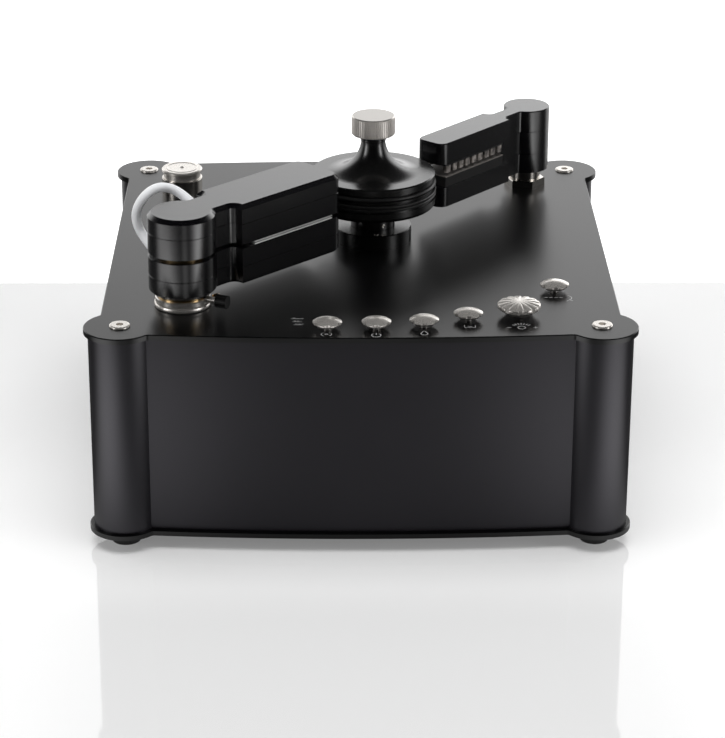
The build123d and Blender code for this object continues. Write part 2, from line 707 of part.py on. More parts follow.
FRONT_ARM = {
    "hub_radius": FRONT_HUB_RADIUS,
    "hub_fillet": FRONT_HUB_FILLET,
    "neck_width": FRONT_NECK_WIDTH,
    "neck_fillet": FRONT_NECK_FILLET,
    "bar_start": FRONT_BAR_START,
    "bar_end": FRONT_BAR_END,
    "bar_width": FRONT_BAR_WIDTH,
    "tip_radius": FRONT_TIP_RADIUS,
    "shoulder_radius": FRONT_SHOULDER_RADIUS,
}
REAR_ARM = {
    "hub_radius": REAR_HUB_RADIUS,
    "hub_fillet": REAR_HUB_FILLET,
    "neck_width": REAR_NECK_WIDTH,
    "neck_fillet": REAR_NECK_FILLET,
    "bar_start": REAR_BAR_START,
    "bar_end": REAR_BAR_END,
    "bar_width": REAR_BAR_WIDTH,
    "tip_radius": REAR_TIP_RADIUS,
    "shoulder_radius": REAR_SHOULDER_RADIUS,
}


def arm_outline(plane, arm):
    """Bar with rounded corners, neck with hollow corners and round hub of an arm."""
    start = arm["bar_start"]
    neck_width = arm["neck_width"]
    with BuildSketch(plane) as outline:
        with Locations(((start + arm["bar_end"]) / 2, 0)):
            Rectangle(arm["bar_end"] - start, arm["bar_width"])
        corners = outline.vertices().sort_by(lambda v: plane.to_local_coords(v).X)
        fillet(corners[-2:], arm["tip_radius"])
        fillet(corners[:2], arm["shoulder_radius"])
        with Locations((start / 2, 0)):
            Rectangle(start + arm["neck_fillet"] / 2, neck_width)
        fillet(hollow_corners(outline, plane, start, neck_width), arm["neck_fillet"])
        Circle(arm["hub_radius"])
        hub_edge = math.sqrt(arm["hub_radius"] ** 2 - (neck_width / 2) ** 2)
        fillet(hollow_corners(outline, plane, hub_edge, neck_width), arm["hub_fillet"])
    return outline.sketch


def hollow_corners(outline, plane, along, neck_width):
    """The two corners where the neck meets the hub or the back of the bar."""
    return outline.vertices().filter_by(
        lambda v: abs(plane.to_local_coords(v).X - along) < 0.01
        and abs(abs(plane.to_local_coords(v).Y) - neck_width / 2) < 0.01
    )


def cut_hollow(plane, radius, depth):
    """Round hole of the given radius, cut upwards from a plane through the arm part being built."""
    with BuildSketch(plane) as hole:
        Circle(radius)
    extrude(hole.sketch, amount=depth, mode=Mode.SUBTRACT)


def soften_seams(builder, levels):
    """Small chamfer along the outer edges that lie at the given heights above the deck."""
    for level in levels:
        face = builder.faces().filter_by(Axis.Z).sort_by(lambda f: abs(f.center().Z - on_deck(level)))[0]
        chamfer(face.outer_wire().edges(), SEAM_CHAMFER)


# Front arm: base ring on the deck, pivot, four layers with the record gap between the middle two

with BuildPart() as front_arm_base_ring:
    with BuildSketch(front_plane(0)):
        Circle(FRONT_RING_RADIUS)
    extrude(amount=FRONT_RING_HEIGHT)
    chamfer(front_arm_base_ring.edges().group_by(Axis.Z)[-1], PLATE_EDGE)
    lock_plane = Plane(
        origin=(FRONT_HUB_X, FRONT_HUB_Y, on_deck(LOCK_HEIGHT)),
        x_dir=(0, 0, 1),
        z_dir=(math.cos(math.radians(LOCK_ANGLE)), math.sin(math.radians(LOCK_ANGLE)), 0),
    )
    with BuildSketch(lock_plane.offset(LOCK_BOSS_START)):
        Circle(LOCK_BOSS_RADIUS)
    extrude(amount=LOCK_BOSS_END - LOCK_BOSS_START)
    with BuildSketch(front_plane(0)):
        Circle(FRONT_PIVOT_RADIUS + RUNNING_FIT)
    extrude(amount=FRONT_RING_HEIGHT, mode=Mode.SUBTRACT)
    with BuildSketch(lock_plane.offset(FRONT_FLANGE_RADIUS)):
        Circle(LOCK_SCREW_RADIUS + RUNNING_FIT)
    extrude(amount=LOCK_BOSS_END - FRONT_FLANGE_RADIUS, mode=Mode.SUBTRACT)
finish(front_arm_base_ring, "front_arm_base_ring")

with BuildPart() as front_arm_lock_knob:
    with BuildSketch(lock_plane.offset(FRONT_FLANGE_RADIUS + TURN_GAP)):
        Circle(LOCK_SCREW_RADIUS)
    extrude(amount=LOCK_BOSS_END - FRONT_FLANGE_RADIUS)
    with BuildSketch(lock_plane.offset(LOCK_BOSS_END + TURN_GAP)):
        Circle(LOCK_KNOB_RADIUS)
        with PolarLocations(LOCK_KNOB_RADIUS, LOCK_KNOB_FLUTES):
            Circle(LOCK_KNOB_FLUTE_RADIUS, mode=Mode.SUBTRACT)
    extrude(amount=LOCK_KNOB_LENGTH)
finish(front_arm_lock_knob, "front_arm_lock_knob")

with BuildPart() as front_arm_pivot:
    with BuildSketch(front_plane(-PIVOT_DEPTH)):
        Circle(FRONT_PIVOT_RADIUS)
    extrude(amount=PIVOT_DEPTH + FRONT_LOWER_SEAM)
    with BuildSketch(front_plane(FRONT_RING_HEIGHT + SEAM_GAP)):
        Circle(FRONT_FLANGE_RADIUS)
    extrude(amount=FRONT_ARM_BOTTOM - FRONT_RING_HEIGHT - SEAM_GAP)
    with BuildSketch(front_plane(-PLATE_THICKNESS - TURN_GAP)):
        Circle(FRONT_PIVOT_RADIUS + PIVOT_COLLAR_WIDTH)
    extrude(amount=-PIVOT_COLLAR_HEIGHT)
    cut_hollow(front_plane(-PIVOT_DEPTH), FRONT_PIVOT_BORE, PIVOT_DEPTH + FRONT_LOWER_SEAM)
finish(front_arm_pivot, "front_arm_pivot")

with BuildPart() as front_arm_lower_cover:
    cover_outline = arm_outline(front_plane(FRONT_ARM_BOTTOM), FRONT_ARM)
    extrude(cover_outline, amount=FRONT_LOWER_SEAM - FRONT_ARM_BOTTOM)
    cover_bottom = front_arm_lower_cover.faces().filter_by(Axis.Z).sort_by(Axis.Z)[0]
    chamfer(cover_bottom.outer_wire().edges(), FRONT_BOTTOM_CHAMFER)
    cut_hollow(front_plane(FRONT_ARM_BOTTOM), FRONT_PIVOT_RADIUS, FRONT_LOWER_SEAM - FRONT_ARM_BOTTOM)
    soften_seams(front_arm_lower_cover, [FRONT_LOWER_SEAM])
finish(front_arm_lower_cover, "front_arm_lower_cover")


with BuildPart() as front_arm_lower_body:
    extrude(arm_outline(front_plane(FRONT_LOWER_SEAM), FRONT_ARM), amount=GAP_BOTTOM - FRONT_LOWER_SEAM)
    cut_hollow(front_plane(FRONT_LOWER_SEAM), FRONT_PIVOT_BORE, GAP_BOTTOM - FRONT_LOWER_SEAM)
    soften_seams(front_arm_lower_body, [FRONT_LOWER_SEAM, GAP_BOTTOM])
finish(front_arm_lower_body, "front_arm_lower_body")

with BuildPart() as front_arm_spacer:
    with BuildSketch(front_plane(GAP_BOTTOM)):
        Circle(GAP_SPACER_RADIUS)
        Circle(FRONT_PIVOT_BORE, mode=Mode.SUBTRACT)
    extrude(amount=GAP_TOP - GAP_BOTTOM)
finish(front_arm_spacer, "front_arm_spacer")

with BuildPart() as front_arm_upper_body:
    extrude(arm_outline(front_plane(GAP_TOP), FRONT_ARM), amount=FRONT_UPPER_SEAM - GAP_TOP)
    cut_hollow(front_plane(GAP_TOP), FRONT_PIVOT_BORE, FRONT_UPPER_SEAM - GAP_TOP)
    soften_seams(front_arm_upper_body, [GAP_TOP, FRONT_UPPER_SEAM])
finish(front_arm_upper_body, "front_arm_upper_body")

with BuildPart() as front_arm_lid:
    extrude(arm_outline(front_plane(FRONT_UPPER_SEAM), FRONT_ARM), amount=FRONT_ARM_TOP - FRONT_UPPER_SEAM)
    soften_seams(front_arm_lid, [FRONT_UPPER_SEAM])
    lid_top = front_arm_lid.faces().filter_by(Axis.Z).sort_by(Axis.Z)[-1]
    chamfer(lid_top.outer_wire().edges(), FRONT_TOP_CHAMFER)
finish(front_arm_lid, "front_arm_lid")

with BuildPart() as front_arm_pads:
    for bottom in (GAP_BOTTOM, GAP_TOP - PAD_THICKNESS):
        with BuildSketch(front_plane(bottom)):
            with Locations(((PAD_START + PAD_END) / 2, 0)):
                Rectangle(PAD_END - PAD_START, FRONT_BAR_WIDTH - 2 * PAD_MARGIN)
        extrude(amount=PAD_THICKNESS)
finish(front_arm_pads, "front_arm_pads")

# Rear arm: hexagonal base on the deck, pivot with collar, lower and upper body, carriers and brushes

with BuildPart() as rear_arm_base_nut:
    with BuildSketch(rear_plane(0)):
        RegularPolygon(REAR_NUT_WIDTH / 2, 6, major_radius=False)
        Circle(REAR_PIVOT_RADIUS + RUNNING_FIT, mode=Mode.SUBTRACT)
    extrude(amount=REAR_NUT_HEIGHT)
    chamfer(rear_arm_base_nut.faces().sort_by(Axis.Z)[-1].outer_wire().edges(), PLATE_EDGE)
finish(rear_arm_base_nut, "rear_arm_base_nut")

with BuildPart() as rear_arm_pivot:
    with BuildSketch(rear_plane(-PIVOT_DEPTH)):
        Circle(REAR_PIVOT_RADIUS)
    extrude(amount=PIVOT_DEPTH + REAR_LOWER_SEAM)
    with BuildSketch(rear_plane(REAR_NUT_HEIGHT + SEAM_GAP)):
        Circle(REAR_COLLAR_RADIUS)
    extrude(amount=REAR_ARM_BOTTOM - REAR_NUT_HEIGHT - SEAM_GAP)
    with BuildSketch(rear_plane(-PLATE_THICKNESS - TURN_GAP)):
        Circle(REAR_PIVOT_RADIUS + PIVOT_COLLAR_WIDTH)
    extrude(amount=-PIVOT_COLLAR_HEIGHT)
    cut_hollow(rear_plane(-PIVOT_DEPTH), REAR_PIVOT_BORE, PIVOT_DEPTH + REAR_LOWER_SEAM)
finish(rear_arm_pivot, "rear_arm_pivot")

with BuildPart() as rear_arm_lower_body:
    extrude(arm_outline(rear_plane(REAR_ARM_BOTTOM), REAR_ARM), amount=REAR_LOWER_SEAM - REAR_ARM_BOTTOM)
    cut_hollow(rear_plane(REAR_ARM_BOTTOM), REAR_PIVOT_RADIUS, REAR_LOWER_SEAM - REAR_ARM_BOTTOM)
    soften_seams(rear_arm_lower_body, [REAR_LOWER_SEAM])
finish(rear_arm_lower_body, "rear_arm_lower_body")

with BuildPart() as rear_arm_spacer:
    with BuildSketch(rear_plane(REAR_LOWER_SEAM)):
        Circle(REAR_HUB_RADIUS)
        with Locations((CARRIER_START / 2, 0)):
            Rectangle(CARRIER_START, REAR_NECK_WIDTH)
        Circle(REAR_PIVOT_BORE, mode=Mode.SUBTRACT)
    extrude(amount=REAR_UPPER_SEAM - REAR_LOWER_SEAM)
    soften_seams(rear_arm_spacer, [REAR_LOWER_SEAM, REAR_UPPER_SEAM])
finish(rear_arm_spacer, "rear_arm_spacer")

with BuildPart() as rear_arm_upper_body:
    extrude(arm_outline(rear_plane(REAR_UPPER_SEAM), REAR_ARM), amount=REAR_ARM_TOP - REAR_UPPER_SEAM)
    soften_seams(rear_arm_upper_body, [REAR_UPPER_SEAM])
    roof = rear_arm_upper_body.faces().filter_by(Axis.Z).sort_by(Axis.Z)[-1]
    chamfer(roof.outer_wire().edges(), REAR_TOP_CHAMFER)
finish(rear_arm_upper_body, "rear_arm_upper_body")

CARRIER_WIDTH = REAR_BAR_WIDTH - 2 * CARRIER_INSET
CARRIER_MIDDLE = (CARRIER_START + CARRIER_END) / 2
STRIP_BOTTOM = GAP_BOTTOM - STRIP_THICKNESS


def carrier_outline(bottom, width):
    """Straight strip along the rear arm's bar."""
    with BuildSketch(rear_plane(bottom)) as outline:
        with Locations((CARRIER_MIDDLE, 0)):
            Rectangle(CARRIER_END - CARRIER_START, width)
    return outline.sketch


with BuildPart() as rear_arm_pad_carrier:
    extrude(carrier_outline(REAR_LOWER_SEAM, CARRIER_WIDTH), amount=STRIP_BOTTOM - REAR_LOWER_SEAM)
finish(rear_arm_pad_carrier, "rear_arm_pad_carrier")

with BuildPart() as rear_arm_pad_strip:
    extrude(carrier_outline(STRIP_BOTTOM, CARRIER_WIDTH + CARRIER_INSET), amount=STRIP_THICKNESS)
finish(rear_arm_pad_strip, "rear_arm_pad_strip")

with BuildPart() as rear_arm_brush_carrier:
    extrude(carrier_outline(REAR_UPPER_SEAM, CARRIER_WIDTH), amount=-BRUSH_CARRIER_THICKNESS)
finish(rear_arm_brush_carrier, "rear_arm_brush_carrier")

BRUSH_BOTTOM = GAP_TOP
BRUSH_TOP = REAR_UPPER_SEAM - BRUSH_CARRIER_THICKNESS
BRUSH_PITCH = (CARRIER_END - CARRIER_START) / BRUSH_COUNT

with BuildPart() as rear_arm_brushes:
    with BuildSketch(rear_plane(BRUSH_BOTTOM)):
        with Locations((CARRIER_MIDDLE, 0)):
            with GridLocations(BRUSH_PITCH, CARRIER_WIDTH - BRUSH_WIDTH, BRUSH_COUNT, 2):
                RectangleRounded(BRUSH_LENGTH, BRUSH_WIDTH, BRUSH_WIDTH / 4)
    extrude(amount=BRUSH_TOP - BRUSH_BOTTOM)
finish(rear_arm_brushes, "rear_arm_brushes")

# --------------------------------------------------------------------------------------------------
# Hose loop of the front arm, from the upper body's neck back into the lower body's hub
# --------------------------------------------------------------------------------------------------


def tilted(direction, tilt):
    """Unit direction that points outwards and up by the tilt angle."""
    up = math.sin(math.radians(tilt))
    out = math.cos(math.radians(tilt))
    return Vector(direction.X * out, direction.Y * out, up)


NECK_SIDE = front_plane(0).y_dir
UPPER_STUB_AXIS = (
    Vector(FRONT_HUB_X, FRONT_HUB_Y, on_deck(UPPER_FITTING_HEIGHT))
    + front_plane(0).x_dir * UPPER_FITTING_ALONG
)
UPPER_ELBOW = UPPER_STUB_AXIS + NECK_SIDE * (FRONT_NECK_WIDTH / 2 + FITTING_STUB)
UPPER_NOZZLE = tilted(NECK_SIDE, FITTING_TILT)
UPPER_MOUTH = UPPER_ELBOW + UPPER_NOZZLE * FITTING_NOZZLE
HUB_SIDE = Vector(1, 0, 0).rotate(Axis.Z, LOWER_FITTING_ANGLE)
LOWER_STUB_AXIS = Vector(FRONT_HUB_X, FRONT_HUB_Y, on_deck(LOWER_FITTING_HEIGHT))
LOWER_ELBOW = LOWER_STUB_AXIS + HUB_SIDE * (FRONT_HUB_RADIUS + FITTING_STUB)
LOWER_NOZZLE = tilted(HUB_SIDE, FITTING_TILT)
LOWER_MOUTH = LOWER_ELBOW + LOWER_NOZZLE * FITTING_NOZZLE

HOSE_FIRST_RUN = 7.0
HOSE_LAST_RUN = 15.8
HOSE_MIDDLE = (
    (-133.8, -82.4, 235.5),
    (-145.1, -88.1, 238.2),
    (-155.5, -94.2, 230.8),
    (-160.2, -92.8, 216.7),
)
HOSE_POINTS = [
    UPPER_MOUTH,
    UPPER_MOUTH + UPPER_NOZZLE * HOSE_FIRST_RUN,
    *[Vector(*point) for point in HOSE_MIDDLE],
    LOWER_MOUTH + LOWER_NOZZLE * HOSE_LAST_RUN,
    LOWER_MOUTH,
]
BEND_SHARE = 0.45           # of the shorter run beside each bend


def bend_radii(points):
    """Radius of the arc at each inner point of a route."""
    radii = []
    for before, here, after in zip(points, points[1:], points[2:]):
        turn = math.radians((here - before).get_angle(after - here))
        shorter = min((here - before).length, (after - here).length)
        radii.append(BEND_SHARE * shorter / math.tan(turn / 2))
    return radii


HOSE_BENDS = bend_radii(HOSE_POINTS)
print("hose points", [tuple(round(value, 2) for value in point) for point in HOSE_POINTS])
print("hose bend radii", [round(radius, 1) for radius in HOSE_BENDS])

with BuildPart() as front_arm_hose:
    with BuildLine() as hose_route:
        FilletPolyline(*HOSE_POINTS, radius=HOSE_BENDS)
    with BuildSketch(Plane(origin=UPPER_MOUTH, z_dir=UPPER_NOZZLE)):
        Circle(HOSE_RADIUS)
    sweep(path=hose_route.wire())
print("hose length", round(hose_route.wire().length, 1))
print("hose volume over section", round(front_arm_hose.part.volume / (math.pi * HOSE_RADIUS**2), 1))
finish(front_arm_hose, "front_arm_hose")

with BuildPart() as front_arm_hose_fittings:
    with BuildSketch(Plane(origin=UPPER_STUB_AXIS, z_dir=NECK_SIDE)):
        Circle(FITTING_RADIUS)
    extrude(amount=FRONT_NECK_WIDTH / 2 + FITTING_STUB)
    with BuildSketch(Plane(origin=UPPER_ELBOW, z_dir=UPPER_NOZZLE)):
        Circle(FITTING_RADIUS)
    extrude(amount=FITTING_NOZZLE)
    with Locations(UPPER_ELBOW):
        Sphere(FITTING_RADIUS)
    with BuildSketch(Plane(origin=LOWER_STUB_AXIS, z_dir=HUB_SIDE)):
        Circle(FITTING_RADIUS)
    extrude(amount=FRONT_HUB_RADIUS + FITTING_STUB)
    with BuildSketch(Plane(origin=LOWER_ELBOW, z_dir=LOWER_NOZZLE)):
        Circle(FITTING_RADIUS)
    extrude(amount=FITTING_NOZZLE)
    with Locations(LOWER_ELBOW):
        Sphere(FITTING_RADIUS)
    fittings_bottom = LOWER_FITTING_HEIGHT - FITTING_RADIUS
    fittings_top = UPPER_FITTING_HEIGHT + FITTING_RADIUS
    arm_block = arm_outline(front_plane(fittings_bottom), FRONT_ARM)
    extrude(arm_block, amount=fittings_top - fittings_bottom, mode=Mode.SUBTRACT)
finish(front_arm_hose_fittings, "front_arm_hose_fittings")

# --------------------------------------------------------------------------------------------------
# Controls
# --------------------------------------------------------------------------------------------------

BOARD_TOP = -BOARD_DEPTH
SWITCH_TOP = BOARD_TOP + SWITCH_HEIGHT
ENCODER_TOP = BOARD_TOP + ENCODER_HEIGHT


def lobed_outline(place, radius, lobes, scallop, scallop_depth):
    """Round head of a control with scallops cut into its rim, on the deck."""
    with BuildSketch(Plane(origin=(*place, DECK_TOP))) as outline:
        Circle(radius)
        with PolarLocations(radius + scallop - scallop_depth, lobes, start_angle=180 / lobes):
            Circle(scallop, mode=Mode.SUBTRACT)
    return outline.sketch


def head_section(place, radius, collar, rim, top, dome):
    """Half section of a control's head: sloping underside up to the rim, domed top."""
    shoulder = dome_shoulder(top, radius, dome)
    with BuildSketch(Plane(origin=(*place, DECK_TOP), x_dir=(1, 0, 0), z_dir=(0, -1, 0))) as section:
        with BuildLine():
            Polyline((0, top), (0, HEAD_UNDERSIDE), (collar, HEAD_UNDERSIDE), (radius, rim))
            Line((radius, rim), (radius, shoulder))
            RadiusArc((radius, shoulder), (0, top), -dome)
        make_face()
    return section.sketch


def dome_shoulder(top, radius, dome):
    """Height at which a dome of the given radius meets the side of a round head."""
    return top - (dome - math.sqrt(dome**2 - radius**2))


for number, place in enumerate(BUTTON_PLACES, start=1):
    with BuildPart() as button:
        button_rim = lobed_outline(place, BUTTON_RADIUS, BUTTON_LOBES, BUTTON_SCALLOP, BUTTON_SCALLOP_DEPTH)
        extrude(button_rim, amount=BUTTON_TOP)
        revolve(
            head_section(place, BUTTON_RADIUS, BUTTON_COLLAR_RADIUS, BUTTON_RIM, BUTTON_TOP, BUTTON_DOME),
            axis=Axis((*place, 0), (0, 0, 1)),
            mode=Mode.INTERSECT,
        )
        with BuildSketch(Plane.XY.offset(on_deck(SWITCH_TOP + BUTTON_TRAVEL + TURN_GAP))):
            with Locations(place):
                Circle(STEM_RADIUS)
        extrude(amount=BUTTON_RIM - SWITCH_TOP - BUTTON_TRAVEL - TURN_GAP)
    finish(button, f"button_{number}")

with BuildPart() as speed_knob:
    dial_rim = lobed_outline(DIAL_PLACE, DIAL_RADIUS, DIAL_SCALLOPS, DIAL_SCALLOP, DIAL_SCALLOP_DEPTH)
    extrude(dial_rim, amount=DIAL_TOP)
    revolve(
        head_section(DIAL_PLACE, DIAL_RADIUS, DIAL_COLLAR_RADIUS, DIAL_RIM, DIAL_TOP, DIAL_DOME),
        axis=Axis((*DIAL_PLACE, 0), (0, 0, 1)),
        mode=Mode.INTERSECT,
    )
    with BuildSketch(Plane.XY.offset(on_deck(ENCODER_TOP + TURN_GAP))):
        with Locations(DIAL_PLACE):
            Circle(STEM_RADIUS)
    extrude(amount=DIAL_RIM - ENCODER_TOP - TURN_GAP)
finish(speed_knob, "speed_knob")

BOARD_FRONT = -176.5
BOARD_BACK = -128.0
BOARD_LEFT = -42.0
BOARD_RIGHT = 128.0
WING_LEFT = 94.0
WING_RIGHT = 156.0
WING_BACK = -82.0
WING_FRONT = -140.0
STANDOFF_PLACES = [(-34.0, -150.0), (30.0, -136.0), (64.0, -136.0), (104.0, -92.0)]

with BuildPart() as control_board:
    with BuildSketch(Plane.XY.offset(on_deck(BOARD_TOP))):
        with Locations(((BOARD_LEFT + BOARD_RIGHT) / 2, (BOARD_FRONT + BOARD_BACK) / 2)):
            Rectangle(BOARD_RIGHT - BOARD_LEFT, BOARD_BACK - BOARD_FRONT)
        with Locations(((WING_LEFT + WING_RIGHT) / 2, (WING_FRONT + WING_BACK) / 2)):
            Rectangle(WING_RIGHT - WING_LEFT, WING_BACK - WING_FRONT)
    extrude(amount=-BOARD_THICKNESS)
    with BuildSketch(Plane.XY.offset(on_deck(BOARD_TOP))):
        with Locations(*BUTTON_PLACES):
            Rectangle(SWITCH_SIZE, SWITCH_SIZE)
    extrude(amount=SWITCH_HEIGHT)
    with BuildSketch(Plane.XY.offset(on_deck(BOARD_TOP))):
        with Locations(DIAL_PLACE):
            Rectangle(ENCODER_SIZE, ENCODER_SIZE)
    extrude(amount=ENCODER_HEIGHT)
    with BuildSketch(Plane.XY.offset(on_deck(BOARD_TOP))):
        with Locations(*STANDOFF_PLACES):
            Circle(STANDOFF_RADIUS)
    extrude(amount=BOARD_DEPTH - PLATE_THICKNESS)
finish(control_board, "control_board")

# --------------------------------------------------------------------------------------------------
# Filler
# --------------------------------------------------------------------------------------------------

FILLER_PLACE = (FILLER_X, FILLER_Y)

with BuildPart() as filler_neck:
    with BuildSketch(Plane.XY.offset(DECK_TOP)):
        with Locations(FILLER_PLACE):
            Circle(FILLER_RADIUS)
    extrude(amount=FILLER_NECK_HEIGHT)
    fillet(filler_neck.edges().group_by(Axis.Z)[-1], PLATE_EDGE)
    with BuildSketch(Plane.XY.offset(TANK_TOP)):
        with Locations(FILLER_PLACE):
            Circle(FILLER_TUBE_RADIUS)
    extrude(amount=DECK_TOP - TANK_TOP)
    with BuildSketch(Plane.XY.offset(TANK_TOP)):
        with Locations(FILLER_PLACE):
            Circle(FILLER_BORE)
    extrude(amount=on_deck(FILLER_NECK_HEIGHT) - TANK_TOP, mode=Mode.SUBTRACT)
finish(filler_neck, "filler_neck")

with BuildPart() as filler_cap:
    with BuildSketch(Plane.XY.offset(on_deck(FILLER_NECK_HEIGHT))):
        with Locations(FILLER_PLACE):
            Circle(CAP_SKIRT_RADIUS)
    extrude(amount=CAP_DISC_BOTTOM - FILLER_NECK_HEIGHT)
    with BuildSketch(Plane.XY.offset(on_deck(CAP_DISC_BOTTOM))):
        with Locations(FILLER_PLACE):
            Circle(FILLER_RADIUS)
    extrude(amount=CAP_TOP - CAP_DISC_BOTTOM)
    chamfer(wide_circles(filler_cap, CAP_SKIRT_RADIUS + PLATE_EDGE), CAP_EDGE)
    with BuildSketch(Plane.XY.offset(on_deck(FILLER_NECK_HEIGHT))):
        with Locations(FILLER_PLACE):
            Circle(FILLER_BORE)
    extrude(amount=CAP_HOLLOW_DEPTH, mode=Mode.SUBTRACT)
finish(filler_cap, "filler_cap")

# --------------------------------------------------------------------------------------------------
# Tanks, pump, turbine and power supply on the bottom plate
# --------------------------------------------------------------------------------------------------


def tank_outline(level, left, length, front, width, inset):
    """Rectangle of a tank at a level of the model, drawn in by an inset on all sides."""
    with BuildSketch(Plane.XY.offset(level)) as outline:
        with Locations((left + length / 2, front + width / 2)):
            Rectangle(length - 2 * inset, width - 2 * inset)
    return outline.sketch


CLEAN_TANK_PLAN = (CLEAN_TANK_LEFT, CLEAN_TANK_LENGTH, CLEAN_TANK_FRONT, CLEAN_TANK_WIDTH)
WASTE_TANK_FRONT = WASTE_TANK_BACK - WASTE_TANK_WIDTH
WASTE_TANK_PLAN = (WASTE_TANK_LEFT, WASTE_TANK_LENGTH, WASTE_TANK_FRONT, WASTE_TANK_WIDTH)
TANK_INSIDE = FLOOR_TOP + TANK_WALL

with BuildPart() as clean_tank:
    extrude(tank_outline(FLOOR_TOP, *CLEAN_TANK_PLAN, 0), amount=TANK_TOP - FLOOR_TOP)
    clean_inside = tank_outline(TANK_INSIDE, *CLEAN_TANK_PLAN, TANK_WALL)
    extrude(clean_inside, amount=TANK_TOP - TANK_WALL - TANK_INSIDE, mode=Mode.SUBTRACT)
    with BuildSketch(Plane.XY.offset(TANK_TOP - TANK_WALL)):
        with Locations(FILLER_PLACE):
            Circle(FILLER_BORE)
    extrude(amount=TANK_WALL, mode=Mode.SUBTRACT)
finish(clean_tank, "clean_tank")

with BuildPart() as waste_tank:
    extrude(tank_outline(FLOOR_TOP, *WASTE_TANK_PLAN, 0), amount=WASTE_TANK_TOP - FLOOR_TOP)
    waste_inside = tank_outline(TANK_INSIDE, *WASTE_TANK_PLAN, TANK_WALL)
    extrude(waste_inside, amount=WASTE_TANK_TOP - TANK_WALL - TANK_INSIDE, mode=Mode.SUBTRACT)
    with BuildSketch(Plane.XZ.offset(-WASTE_TANK_BACK)):
        with Locations((SPIGOT_X, SPIGOT_Z)):
            Circle(SPIGOT_BORE)
    extrude(amount=TANK_WALL, mode=Mode.SUBTRACT)
finish(waste_tank, "waste_tank")

with BuildPart() as vacuum_turbine:
    turbine_place = (TURBINE_X, TURBINE_Y)
    with BuildSketch(Plane.XY.offset(FLOOR_TOP)):
        with Locations(turbine_place):
            Circle(TURBINE_RADIUS)
    extrude(amount=TURBINE_HEIGHT)
    with BuildSketch(Plane.XY.offset(FLOOR_TOP + TURBINE_HEIGHT - TURBINE_WALL)):
        with Locations(turbine_place):
            Circle(TURBINE_RADIUS - TURBINE_WALL)
    extrude(amount=-TURBINE_CHAMBER, mode=Mode.SUBTRACT)
finish(vacuum_turbine, "vacuum_turbine")

CHAMBER_FLOOR = FLOOR_TOP + TURBINE_HEIGHT - TURBINE_WALL - TURBINE_CHAMBER

with BuildPart() as vacuum_impeller:
    with BuildSketch(Plane.XY.offset(CHAMBER_FLOOR + TURN_GAP)):
        with Locations(turbine_place):
            Circle(IMPELLER_RADIUS)
    extrude(amount=IMPELLER_DISC)
    with BuildSketch(Plane.XY.offset(CHAMBER_FLOOR + TURN_GAP)):
        with Locations(turbine_place):
            Circle(IMPELLER_HUB)
            with PolarLocations((IMPELLER_RADIUS + IMPELLER_HUB) / 2 - 1, IMPELLER_VANES):
                Rectangle(IMPELLER_RADIUS - IMPELLER_HUB, IMPELLER_VANE)
    extrude(amount=TURBINE_CHAMBER - 2 * TURN_GAP)
finish(vacuum_impeller, "vacuum_impeller")

with BuildPart() as fluid_pump:
    with BuildSketch(Plane.XY.offset(FLOOR_TOP)):
        with Locations((PUMP_X, PUMP_Y)):
            Circle(PUMP_RADIUS)
    extrude(amount=PUMP_HEIGHT)
    chamfer(fluid_pump.edges().group_by(Axis.Z)[-1], TANK_WALL)
    with BuildSketch(Plane.XY.offset(FLOOR_TOP + PUMP_HEIGHT)):
        with Locations((PUMP_X, PUMP_Y)):
            Circle(PUMP_PORT_RADIUS)
    extrude(amount=PUMP_PORT_LENGTH)
finish(fluid_pump, "fluid_pump")

with BuildPart() as power_supply:
    with BuildSketch(Plane.XY.offset(FLOOR_TOP)):
        with Locations((SUPPLY_X, SUPPLY_Y)):
            Rectangle(SUPPLY_LENGTH, SUPPLY_WIDTH)
    extrude(amount=SUPPLY_HEIGHT)
    fillet(power_supply.edges().filter_by(Axis.Z), TANK_WALL)
finish(power_supply, "power_supply")

# --------------------------------------------------------------------------------------------------
# Rear wall: mains inlet with rocker switch, drain spigot
# --------------------------------------------------------------------------------------------------


def rear_wall_plane(y):
    """Upright plane at a depth y, seen from inside: x is the model's X, y its Z."""
    return Plane.XZ.offset(-y)


ROCKER_X = INLET_X + ROCKER_OFFSET
ROCKER_Y = INLET_FACE - ROCKER_FRONT
ROCKER_AXIS_PLANE = Plane.YZ.offset(ROCKER_X - ROCKER_WIDTH / 2)

